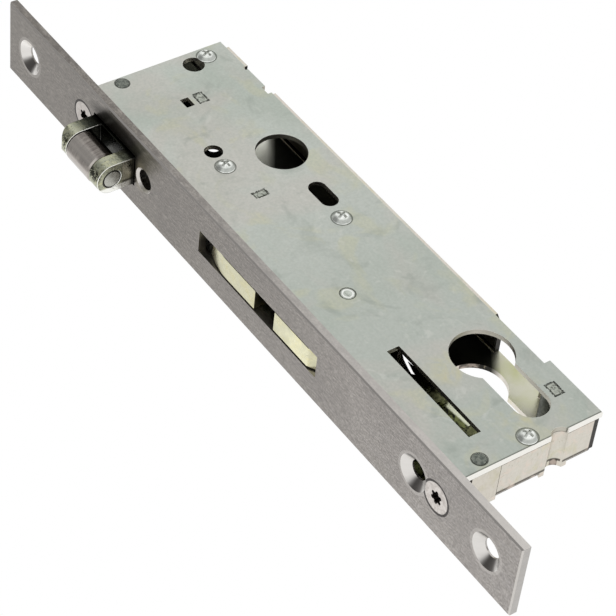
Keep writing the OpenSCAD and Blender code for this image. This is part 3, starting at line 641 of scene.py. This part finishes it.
# Painted shade: the cover's inside below the latch is laid on black.
inside = zinc.facing(OUT, -1, 0.05)
painted_shade_below_latch = zinc.ramp(UP, 0.0520, 0.0480)
zinc.layer(zinc.meet(inside, painted_shade_below_latch), (44, 44, 40), 0.97)
print("cover edges laid on")

# %% [markdown]
# A shadow line runs round the four screw heads, the riveted posts and the pivot.
# The tenons are staked with a chisel, so the line round them is ragged: a wider
# frame is laid on only where a fine noise lets it through.

# %% Marks on the cover
post_y, rivet_r, head_r = 0.0122, 0.0021, 0.00285
pivot_y, pivot_z = 0.0180, -0.0237
screw_places = ((0.0395, 0.0755), (0.0179, 0.0332), (0.0335, 0.0007), (0.0271, -0.0869))
rivet_places = ((post_y, 0.0767), (post_y, -0.0868), (pivot_y, pivot_z))
tenon_windows = ((0.0280, 0.0609, 0.0013, 0.0019), (0.0200, 0.0194, 0.0019, 0.0010),
                 (0.0432, -0.0776, 0.0013, 0.0020))
outside = zinc.facing(OUT, 1, 0.05)
nicks = zinc.mask(clouds_group, Scale=700, Detail=4, Warp=1.0, Low=0.44, High=0.50, Seed=3)
for y, z in screw_places:
    shade = zinc.mask(ring_group, Centre=(0, y, z), Radius=head_r, Width=0.0002)
    zinc.layer(zinc.meet(shade, outside), (84, 88, 82), 0.75)
for y, z in rivet_places:
    shade = zinc.mask(ring_group, Centre=(0, y, z), Radius=rivet_r, Width=0.00018)
    zinc.layer(zinc.meet(shade, outside), (58, 62, 56), 0.85)
for y, z, half_y, half_z in tenon_windows:
    window = {"Centre": (0, y, z), "Half": (1, half_y, half_z)}
    gap = zinc.mask(window_group, Width=0.00017, **window)
    zinc.layer(zinc.meet(gap, outside), (52, 56, 50), 0.85)
    ragged = zinc.mask(window_group, Width=0.0004, **window)
    zinc.layer(zinc.meet(ragged, nicks, outside), (24, 28, 22), 0.9)
print("marks:", len(screw_places) + len(rivet_places) + len(tenon_windows))

# %% [markdown]
# ### Base
# The base hangs in the plating bath the other way up and comes out creamier and
# yellower than the cover. Its outside is built as the cover's is: two tones of
# stain, the sheet's drawing lines and a fine speck that also makes the relief.

# %% Base plating
cream = Metal("zinc_base", (214, 209, 197), 0.40)
drift = cream.patches((224, 214, 206), 0.6,
                      Scale=40, Detail=5, Warp=1.0, Low=0.40, High=0.62, Seed=2)
cream.patches((204, 198, 160), 0.5, Scale=95, Detail=5, Warp=1.8, Low=0.54, High=0.66, Seed=5)
cream.patches((176, 182, 160), 0.5, Scale=75, Detail=5, Warp=1.6, Low=0.58, High=0.70, Seed=8)
drawn = cream.mask(lines_group, Across=(160, 1400, 1400), Low=0.36, High=0.64)
cream.layer(drawn, (230, 226, 216), 0.3)
speck = cream.patches((192, 190, 178), 0.25,
                      Scale=1500, Detail=2, Warp=0, Low=0.35, High=0.65, Seed=6)
cream.rough(drift, 0.34, 0.46)
cream.relief(speck, 0.00002, 0.25)
print("base plating laid on")

# %% [markdown]
# The inside is painted black as shade where the bolt and the latch run, painted
# white as light round the big hole, and left plain round the keyhole. Through the holes
# of the cover this shows as a soft border between painted shade and yellow plating.
# The border runs across the case on a slant, so its ramps share one slanted axis.

# %% Inside of the base
slant = (0, 0.817, -0.571)
facing_out = cream.facing(OUT, 1, 0.2)
low_side = cream.ramp(IN, 0.0040, 0.0042)
inner = cream.meet(facing_out, low_side)
cream.layer(inner, (206, 206, 186), 0.8)
green = cream.mask(clouds_group, Scale=130, Detail=3, Warp=0.3, Low=0.40, High=0.66, Seed=81)
cream.layer(cream.meet(inner, green), (184, 188, 128), 0.6)
# Painted light: the base's inside is laid on near white round the big hole.
painted_light_near_hole = cream.ramp(slant, 0.0200, 0.0100)
cream.layer(cream.meet(inner, painted_light_near_hole), (255, 255, 246), 0.95)
# Painted shade: the base's inside is laid on black above the keyhole.
painted_shade_above_key = cream.ramp(slant, 0.0690, 0.0665)
past_hole = cream.ramp(slant, 0.0076, 0.0100)
cream.layer(cream.meet(inner, painted_shade_above_key, past_hole), (20, 21, 17), 0.97)
# Painted shade: dark grey near the top.
painted_shade_near_top = cream.ramp(slant, -0.0060, -0.0090)
cream.layer(cream.meet(inner, painted_shade_near_top), (78, 82, 72), 0.9)
# Painted shade on the back wall's inside.
back_wall = cream.facing(FRONT, 1, 0.3)
cream.layer(cream.meet(back_wall, low_side, painted_shade_above_key), (24, 24, 20), 0.97)
print("inside of the base laid on")

# %% [markdown]
# Behind the cover's slot the slide runs up and down, and the sheet there is painted
# black as shade. The shade is broken into olive patches, and one narrow run in it is a
# painted strip of light.

# %% Painted shade behind the slot
front_part = cream.ramp(BACK, 0.0310, 0.0300)
below_bolt = cream.ramp(UP, -0.0440, -0.0470)
# Painted shade: the sheet behind the slot is laid on black.
painted_shade_behind_slot = cream.meet(inner, front_part, below_bolt)
cream.layer(painted_shade_behind_slot, (30, 31, 22), 0.97)
olive_mottle_behind_slot = cream.mask(clouds_group, Scale=300, Detail=5, Warp=2.0, Low=0.44, High=0.58, Seed=31)
thin_from = cream.ramp(UP, -0.0480, -0.0540)
cream.layer(cream.meet(painted_shade_behind_slot, olive_mottle_behind_slot, thin_from), (128, 134, 86), 0.85)
# Painted light: a narrow bright strip in the shade behind the slot.
painted_light_strip = cream.ramp((0, 0.996, 0.087), 0.0188, 0.0193)
light_strip_from = cream.ramp(UP, -0.0560, -0.0600)
cream.layer(cream.meet(painted_shade_behind_slot, painted_light_strip, light_strip_from), (238, 242, 216), 0.95)
print("oil laid on")

# %% [markdown]
# The end walls are folded up from the base. The fold gets a painted highlight inside
# and painted shade along its outer line, and another line of painted shade lies under
# the cover. The lower wall has pink blotches and fine veins, as plating has where the
# bath drains off, and a black slit of painted shade where it meets the back wall.

# %% Lower end wall
# Painted highlight along the inside of the fold.
painted_highlight_fold = cream.facing(OUT, 0.62, 0.33)
cream.layer(cream.meet(painted_highlight_fold, low_side), (250, 240, 220), 0.95)
down_slant = cream.facing(DOWN, 0.84, 0.15)
# Painted shade along the outer line of the bend.
painted_shade_outer_bend = cream.ramp(IN, 0.0046, 0.0050)
cream.layer(cream.meet(down_slant, painted_shade_outer_bend), (62, 56, 50), 0.9)
down = cream.facing(DOWN, 1, 0.5)
# Painted shade: a dark line on the wall just before the bend.
line_from = cream.ramp(IN, 0.0043, 0.0046)
line_to = cream.ramp(IN, 0.0053, 0.0052)
cream.layer(cream.meet(down, cream.meet(line_from, line_to)), (70, 64, 57), 0.9)
# Painted shade: a dark line under the cover's edge.
painted_shade_under_cover = cream.ramp(OUT, 0.0052, 0.0054)
cream.layer(cream.meet(down, painted_shade_under_cover), (96, 90, 82), 0.85)
blotch = cream.mask(clouds_group, Scale=260, Detail=6, Warp=1.5, Low=0.50, High=0.64, Seed=41)
cream.layer(cream.meet(down, blotch), (230, 212, 198), 0.5)
veins = cream.mask(clouds_group, Scale=420, Detail=6, Warp=2.5, Low=0.60, High=0.70, Seed=43)
cream.layer(cream.meet(down, veins), (176, 166, 142), 0.5)
print("lower end wall laid on")

# %% [markdown]
# At the top, the end wall and the tab under the cover screw are painted dark as
# shade, which the hole in the cover's corner shows as plain darkness.

# %% Upper corner and slit
# Painted shade on the top end wall.
looks_down = cream.facing(DOWN, 0.55, 0.45)
painted_shade_top_part = cream.ramp(UP, 0.0500, 0.0600)
cream.layer(cream.meet(looks_down, painted_shade_top_part), (60, 64, 56), 0.95)
# Painted shade on the tab under the cover screw.
tab_foot = cream.ramp(UP, 0.0700, 0.0710)
tab_side = cream.ramp(BACK, 0.0440, 0.0436)
cream.layer(cream.meet(facing_out, tab_foot, tab_side), (60, 64, 56), 0.9)
# Painted shade: the slit where the end wall meets the back wall is laid on black.
slit = cream.ramp(BACK, 0.0462, 0.0464)
cream.layer(cream.meet(down, slit), (22, 20, 18), 0.95)
print("base finish made")

# %% [markdown]
# ## Bolt and slide
# The bolt is a zinc casting and the slide a steel stamping, both with yellow
# passivation. The film runs from cream to olive and turns black where it is thick, and
# the bolt's edges that face out get a painted highlight. On the slide it is thick and
# mottled.

# %% Bolt and slide finishes
yellow = Metal("passivated_zinc", (214, 211, 180), 0.30)
drift = yellow.patches((200, 199, 176), 0.7,
                       Scale=120, Detail=4, Warp=1.0, Low=0.38, High=0.62, Seed=1)
yellow.patches((212, 205, 158), 0.5, Scale=210, Detail=5, Warp=2.0, Low=0.50, High=0.64, Seed=2)
yellow.patches((118, 122, 98), 0.4, Scale=260, Detail=5, Warp=2.5, Low=0.62, High=0.72, Seed=3)
speck = yellow.patches((172, 170, 146), 0.25,
                       Scale=1800, Detail=2, Warp=0, Low=0.35, High=0.65, Seed=4)
# Painted highlight on the bolt's edges that face out.
painted_highlight_edges = yellow.facing(OUT, 0.7, 0.28)
yellow.layer(painted_highlight_edges, (236, 234, 222), 0.8)
yellow.rough(drift, 0.24, 0.36)
yellow.relief(speck, 0.00002, 0.3)

olive = Metal("passivated_slide", (104, 107, 76), 0.34)
film = olive.patches((156, 158, 116), 0.6,
                     Scale=330, Detail=5, Warp=2.0, Low=0.46, High=0.60, Seed=61)
olive.patches((28, 30, 22), 0.85, Scale=300, Detail=5, Warp=2.0, Low=0.48, High=0.60, Seed=63)
olive.rough(film, 0.28, 0.40)
print("bolt and slide finishes made")

# %% [markdown]
# ## Fork
# The fork is cast too, and its film is the thickest: grey-green and freckled. The
# black patches laid on the nose of each ear are painted shade, broken up by the film's noise.

# %% Fork film
ears = Metal("passivated_fork", (176, 177, 156), 0.26)
drift = ears.patches((160, 164, 146), 0.7,
                     Scale=230, Detail=4, Warp=1.0, Low=0.38, High=0.62, Seed=1)
ears.patches((200, 198, 158), 0.5, Scale=330, Detail=5, Warp=2.0, Low=0.46, High=0.62, Seed=21)
ears.patches((80, 82, 68), 0.65, Scale=420, Detail=6, Warp=3.0, Low=0.54, High=0.62, Seed=17)
black_film = ears.mask(clouds_group, Scale=520, Detail=6, Warp=3.0, Low=0.44, High=0.54,
                       Seed=13)
# Painted shade: black patches on the nose of each ear.
nose_painted_shade = ears.mask(spot_group, Centre=(0.0020, -0.0120, 0.0609), Reach=(0.0026, 0.0022, 0.03),
                 Edge=0.5)
ears.layer(ears.meet(nose_painted_shade, black_film), (20, 22, 18), 0.95)
ears.rough(drift, 0.18, 0.32)
ears.relief(black_film, 0.00004, 0.3)
print("fork film laid on")

# %% [markdown]
# The lower ear's end face is the part that the photograph shows best: the pin's end
# in a dark gap of painted shade, a mottled patch beside it, a greyer root near the
# plate, and a painted highlight along the far edge. Bands and root are ramps, and the
# end face is picked out by the way it faces. The upper ear is painted darker towards
# the plate, as shade.

# %% Ends of the ears
pin_y = -0.0071
round_z = (1, 1, 0)
end = ears.facing(DOWN, 1, 0.05)
mottled = ears.mask(spot_group, Centre=(0.0018, -0.0030, 0.0505),
                    Reach=(0.0040, 0.0034, 0.02), Edge=0.4)
ears.layer(ears.meet(end, mottled, black_film), (112, 112, 98), 0.8)
root = ears.ramp(BACK, -0.0040, -0.0036)
ears.layer(root, (112, 118, 104), 0.6)
ears.layer(ears.meet(end, root), (186, 182, 164), 0.8)
shade = ears.ramp(IN, 0.0016, 0.0022)
ears.layer(ears.meet(end, shade, root), (58, 58, 50), 0.85)
# Painted highlight: a bright band along the end face's far edge.
shine = ears.ramp(IN, 0.0024, 0.0030)
ears.layer(ears.meet(end, shine), (250, 250, 244), 0.95)
# Painted shade on the upper ear towards the plate.
upper_ear = ears.ramp(UP, 0.0630, 0.0634)
painted_shade_near_plate = ears.ramp(BACK, -0.0082, -0.0048)
ears.layer(ears.meet(upper_ear, painted_shade_near_plate), (34, 40, 36), 0.85)
# Painted shade in the gap round the pin's end.
pin_gap = ears.mask(ring_group, Centre=(0, pin_y, 0), Flatten=round_z, Radius=0.00282,
                    Width=0.0002)
ears.layer(ears.meet(end, pin_gap), (22, 22, 18))
print("ends of the ears laid on")

# %% [markdown]
# The casting's round edges that face down get a painted highlight. Only the far
# lower edge is painted grey as shade, which draws the ear's outline. The web between
# the ears is painted black as shade.

# %% Fork edges and web
# Painted highlight on the fork's edges that face down.
painted_highlight_edges = ears.facing(DOWN, 0.60, 0.36)
ears.layer(painted_highlight_edges, (252, 252, 246))
# Painted shade on the far lower edge.
painted_shade_far_edge = ears.facing((-0.5, 0, -0.866), 1, 0.07)
ears.layer(painted_shade_far_edge, (104, 103, 96), 0.9)
# Painted shade: the web between the ears is laid on black.
web = ears.ramp(BACK, -0.0018, -0.0008)
ears.layer(web, (22, 23, 20), 0.94)
print("fork finish made")

# %% [markdown]
# ## Roller and pin
# The roller is turned from bar: faint rings run round it, and paler and darker bands
# of painted reflection lie along it. Two of these are dark streaks of painted
# reflection with soft borders, placed by their angle round the roller's axis, so they
# turn with it. The pin's end is plain, with a dark rim of painted shade in its gap.

# %% Roller and pin finishes
steel = Metal("turned_steel", (186, 180, 174), 0.20)
# Painted reflection: lengthwise paler and darker bands.
painted_reflection_bands = steel.mask(lines_group, Across=(420, 420, 8), Low=0.42, High=0.60)
steel.layer(painted_reflection_bands, (150, 146, 142), 0.5)
roller_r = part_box("roller")[1][0]
roller_z = 0.0609
# Painted reflection: two dark streaks along the roller.
for degrees, reach, edge, amount in ((-72, 0.0014, 0.1, 0.7), (16, 0.0040, 0.6, 0.8)):
    round_axis = math.radians(degrees)
    middle = (roller_r * math.cos(round_axis), pin_y + roller_r * math.sin(round_axis), roller_z)
    painted_reflection_streak = steel.mask(spot_group, Centre=middle, Reach=(reach, reach, 1), Edge=edge)
    steel.layer(painted_reflection_streak, (58, 50, 47), amount)
rings = steel.mask(lines_group, Across=(60, 60, 5200), Low=0.34, High=0.66)
steel.layer(rings, (206, 200, 192), 0.25)
steel.patches((210, 204, 192), 0.2, Scale=380, Detail=5, Warp=1.5, Low=0.5, High=0.7, Seed=2)
steel.rough(rings, 0.16, 0.26)
steel.relief(rings, 0.00001, 0.3)

pin_steel = Metal("pin_steel", (176, 176, 168), 0.30)
mottle = pin_steel.patches((206, 206, 198), 0.7,
                           Scale=520, Detail=5, Warp=1.5, Low=0.42, High=0.62, Seed=3)
# Painted shade: a dark rim in the gap round the pin's end.
painted_shade_rim = pin_steel.mask(ring_group, Centre=(0, pin_y, 0), Flatten=round_z, Radius=0.00275,
                     Width=0.0003)
pin_steel.layer(painted_shade_rim, (26, 26, 22), 0.95)
pin_steel.rough(mottle, 0.22, 0.36)
print("roller radius", round(roller_r, 4))

# %% [markdown]
# ## Screws
# The cover's pan-head screws are bright zinc plated: pale heads with grey specks, a
# greyer rim of painted shade, a white flank of painted highlight and a grey floor of
# painted shade in the cross. The plate screws are nickel plated and warmer, and their
# six-lobe recess is painted black inside as shade. Both recesses are cut in the CAD
# model, and ramps paint shade on what lies deep in them.

# %% Screw finishes
pan = Metal("plated_screw", (252, 254, 250), 0.26)
drift = pan.patches((228, 232, 226), 0.6,
                    Scale=500, Detail=4, Warp=1.5, Low=0.42, High=0.60, Seed=23)
pan.patches((150, 156, 148), 0.35, Scale=1500, Detail=3, Warp=1.0, Low=0.48, High=0.60, Seed=25)
above_cover = pan.ramp(OUT, cover_x + 0.0001, cover_x + 0.0002)
# Painted shade: the pan heads' sloping rim is laid on greyer.
painted_shade_rim = pan.facing(OUT, 0.62, 0.25)
pan.layer(pan.meet(painted_shade_rim, above_cover), (214, 218, 212), 0.5)
# Painted highlight on the flanks of the cross and the head's side.
painted_highlight_flank = pan.facing(OUT, 0, 0.35)
pan.layer(pan.meet(painted_highlight_flank, above_cover), (255, 255, 252))
# Painted shade deep in the cross.
painted_shade_cross_floor = pan.ramp(IN, -cover_x - 0.0010, -cover_x - 0.0008)
pan.layer(pan.meet(painted_shade_cross_floor, above_cover), (120, 124, 118), 0.5)
pan.rough(drift, 0.20, 0.34)

nickel = Metal("screw_nickel", (196, 191, 186), 0.34)
drift = nickel.patches((170, 163, 158), 0.6,
                       Scale=600, Detail=4, Warp=1.5, Low=0.40, High=0.62, Seed=8)
nickel.patches((168, 160, 154), 0.25, Scale=2600, Detail=2, Warp=0, Low=0.4, High=0.6, Seed=9)
# Painted shade: the six-lobe recess is laid on black inside.
painted_shade_recess = nickel.ramp(BACK, 0.0003, 0.0005)
nickel.layer(painted_shade_recess, (52, 46, 42), 0.85)
nickel.rough(drift, 0.28, 0.40)
print("screw finishes made")

# %% [markdown]
# ## Inner steel parts
# Stem, nut, pillars and studs are bright turned steel. The adjusting screw is
# blackened, and the springs are dark drawn wire and strip. They hardly show, so
# two layers each are enough.

# %% Inner steel finishes
bright = Metal("bright_steel", (232, 230, 225), 0.26)
drift = bright.patches((206, 202, 198), 0.6,
                       Scale=500, Detail=4, Warp=1.5, Low=0.42, High=0.62, Seed=3)
bright.patches((160, 157, 152), 0.2, Scale=2400, Detail=2, Warp=0, Low=0.4, High=0.6, Seed=5)
bright.rough(drift, 0.20, 0.34)

black = Metal("blackened_steel", (30, 31, 27), 0.36)
speck = black.patches((58, 60, 54), 0.6,
                      Scale=900, Detail=4, Warp=0.6, Low=0.46, High=0.62, Seed=51)
black.rough(speck, 0.28, 0.44)

wire = Metal("spring_steel", (92, 92, 90), 0.30)
drawn = wire.mask(lines_group, Across=(900, 120, 900), Low=0.35, High=0.65)
wire.layer(drawn, (132, 130, 124), 0.5)
wire.patches((70, 70, 68), 0.3, Scale=1800, Detail=2, Warp=0, Low=0.35, High=0.65, Seed=2)
wire.rough(drawn, 0.24, 0.38)
print("inner steel finishes made")

# %% [markdown]
# ## Riveted ends
# Posts, tenons and the pivot pass through the cover and are pressed flush with it.
# Their bodies inside keep another tone, so a ramp changes the tone just under the
# cover's sheet; on the tenons that dark body is painted shade. A post's end is dark
# and granular with a rim of painted shade, a tenon's is staked with nicks, and the
# pivot's is pale with a ring of painted highlight.

# %% Riveted finishes
end_x = cover_x - 0.0016
post_z = (0.0767, -0.0867)
posts = Metal("plated_posts", (212, 206, 194), 0.38)
posts.patches((196, 190, 160), 0.5, Scale=120, Detail=5, Warp=1.8, Low=0.50, High=0.66, Seed=4)
head = posts.ramp(OUT, end_x, end_x + 0.0001)
posts.layer(head, (126, 130, 122))
speck = posts.mask(clouds_group, Scale=1500, Detail=4, Warp=0.4, Low=0.42, High=0.6, Seed=5)
posts.layer(posts.meet(head, speck), (76, 82, 78), 0.75)
# Painted shade: a dark rim round each post's end.
for z in post_z:
    painted_shade_rim = posts.mask(ring_group, Centre=(0, post_y, z), Radius=rivet_r, Width=0.00022)
    posts.layer(posts.meet(painted_shade_rim, head), (40, 42, 38), 0.8)
posts.rough(speck, 0.28, 0.44)
posts.relief(speck, 0.00003, 0.3)

tenon = Metal("riveted_tenon", (178, 182, 172), 0.38)
speck = tenon.patches((150, 154, 144), 0.5,
                      Scale=1200, Detail=3, Warp=0.4, Low=0.42, High=0.6, Seed=15)
# Painted shade: the tenon's body inside the case is laid on dark.
body = tenon.ramp(OUT, end_x, end_x - 0.0001)
tenon.layer(body, (50, 52, 42), 0.9)
tenon.patches((70, 74, 66), 0.7, Scale=900, Detail=4, Warp=1.0, Low=0.52, High=0.58, Seed=19)
tenon.rough(speck, 0.32, 0.46)
tenon.relief(speck, 0.00003, 0.4)

pivot = Metal("riveted_pivot", (200, 205, 197), 0.34)
drift = pivot.patches((180, 186, 177), 0.7,
                      Scale=500, Detail=4, Warp=1.5, Low=0.42, High=0.60, Seed=27)
pivot.patches((110, 115, 106), 0.5, Scale=900, Detail=4, Warp=1.0, Low=0.54, High=0.60, Seed=33)
# Painted highlight: a bright ring on the pivot's end.
painted_highlight_ring = pivot.mask(ring_group, Centre=(0, pivot_y, pivot_z), Radius=0.0014, Width=0.0002)
pivot.layer(painted_highlight_ring, (255, 255, 252), 0.7)
pivot.rough(drift, 0.24, 0.38)
print("riveted finishes made")

# %% [markdown]
# ## Putting the finishes on
# Each CAD node takes one finish. It keeps the slots that it came with, and only the
# material in them changes.

# %% Put the finishes on
finish = {
    "faceplate": stainless, "case_base": cream, "case_cover": zinc, "faceplate_screws": nickel,
    "tapped_posts": posts, "cover_screws": pan, "screw_pillars": bright,
    "roller": steel, "roller_pin": pin_steel, "roller_fork": ears, "fork_stem": bright,
    "stem_nut": bright, "stop_screw": black, "latch_spring": wire, "spring_seat": tenon,
    "hook_bolt": yellow, "pivot_pin": pivot, "pivot_collar": bright, "drive_slide": olive,
    "drive_pin": bright, "slide_studs": bright, "detent_spring": wire, "spring_anchor": bright,
    "bolt_stop": tenon, "rear_spacer": tenon,
}
for name, metal in finish.items():
    for material_slot in nodes[name].material_slots:
        material_slot.material = metal.material
print("nodes finished:", len(finish))

# %% [markdown]
# ## Small pieces in the base
# Light comes through the lock in two places where neither hole is fully open. The
# pieces that stand in them are small and aren't in the CAD model. Both kinds are
# skins of rings: a row of outlines with the same number of points, each joined to
# the next. A closed row comes back to its first ring, and an open one gets a lid at
# each end.


# %% Skin maker
def solid(name, rings, closed, metal):
    """Skins rings of points, each ring joined to the next one."""
    mesh = bpy.data.meshes.new(name)
    shape = bmesh.new()
    rows = [[shape.verts.new(point) for point in ring] for ring in rings]
    for step in range(len(rows) if closed else len(rows) - 1):
        here, there = rows[step], rows[(step + 1) % len(rows)]
        for k in range(len(here)):
            n = (k + 1) % len(here)
            shape.faces.new((here[k], here[n], there[n], there[k]))
    if not closed:
        shape.faces.new(rows[0])
        shape.faces.new(rows[-1])
    bmesh.ops.recalc_face_normals(shape, faces=shape.faces)
    shape.to_mesh(mesh)
    shape.free()
    piece = bpy.data.objects.new(name, mesh)
    scene.collection.objects.link(piece)
    mesh.materials.append(metal.material)
    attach(piece, "case")
    return piece


base_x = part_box("case_base")[0][0]
print("outside of the base at x", round(base_x, 4))

# %% [markdown]
# ### Bush
# A blackened bush sits in the base's round hole, behind the small hole of the
# cover. It is turned from bar and bored off centre, so only part of the light gets
# through. Its profile goes up the bore and back down the outside.


# %% Bush
def circle(x, y, z, radius, count=64):
    turns = [2 * math.pi * k / count for k in range(count)]
    return [(x, y + radius * math.cos(a), z + radius * math.sin(a)) for a in turns]


bush_y, bush_z, bush_r = 0.0276, 0.0530, 0.00392
bush_back, bush_front = base_x + 0.0007, base_x + 0.0013
bore_y, bore_z, bore_r = bush_y + 0.00065, bush_z + 0.0004, 0.00185
broken = 0.0001
bush = solid("eccentric_bush", [
    circle(bush_back, bore_y, bore_z, bore_r + broken),
    circle(bush_back + broken, bore_y, bore_z, bore_r),
    circle(bush_front - broken, bore_y, bore_z, bore_r),
    circle(bush_front, bore_y, bore_z, bore_r + broken),
    circle(bush_front, bush_y, bush_z, bush_r - broken),
    circle(bush_front - broken, bush_y, bush_z, bush_r),
    circle(bush_back + broken, bush_y, bush_z, bush_r),
    circle(bush_back, bush_y, bush_z, bush_r - broken),
], True, black)
print("bush:", len(bush.data.polygons), "faces")

# %% [markdown]
# ### Tongues
# In the base's lower hole, two flat tongues are left standing behind the slot.
# They are blanked with the hole, and a narrow V of light gets past them. Each is
# its outline four times: twice at full size, and once a little smaller on either
# face, which breaks the edges.


# %% Tongues in the lower hole
def tongue(name, outline, metal, thick=0.0004):
    """A flat plate in the base's sheet, with its edges broken."""
    first_x = base_x + 0.0003
    middle_y = sum(y for y, z in outline) / len(outline)
    middle_z = sum(z for y, z in outline) / len(outline)
    rings = []
    for x, shrink in ((0, broken), (broken, 0), (thick - broken, 0), (thick, broken)):
        ring = []
        for y, z in outline:
            scale = 1 - shrink / math.hypot(y - middle_y, z - middle_z)
            ring.append((first_x + x, middle_y + (y - middle_y) * scale,
                         middle_z + (z - middle_z) * scale))
        rings.append(ring)
    return solid(name, rings, False, metal)


left = tongue("left_tongue", [
    (0.0231, -0.0403), (0.0245, -0.0384), (0.0270, -0.0375), (0.0256, -0.0404),
    (0.0247, -0.0434), (0.0239, -0.0468), (0.0231, -0.0454), (0.0225, -0.0430)], bright)
lower = tongue("lower_tongue", [
    (0.0261, -0.0415), (0.0265, -0.0446), (0.0272, -0.0486), (0.0262, -0.0482),
    (0.0247, -0.0474), (0.0251, -0.0450)], black)
print("tongues:", len(left.data.polygons) + len(lower.data.polygons), "faces")
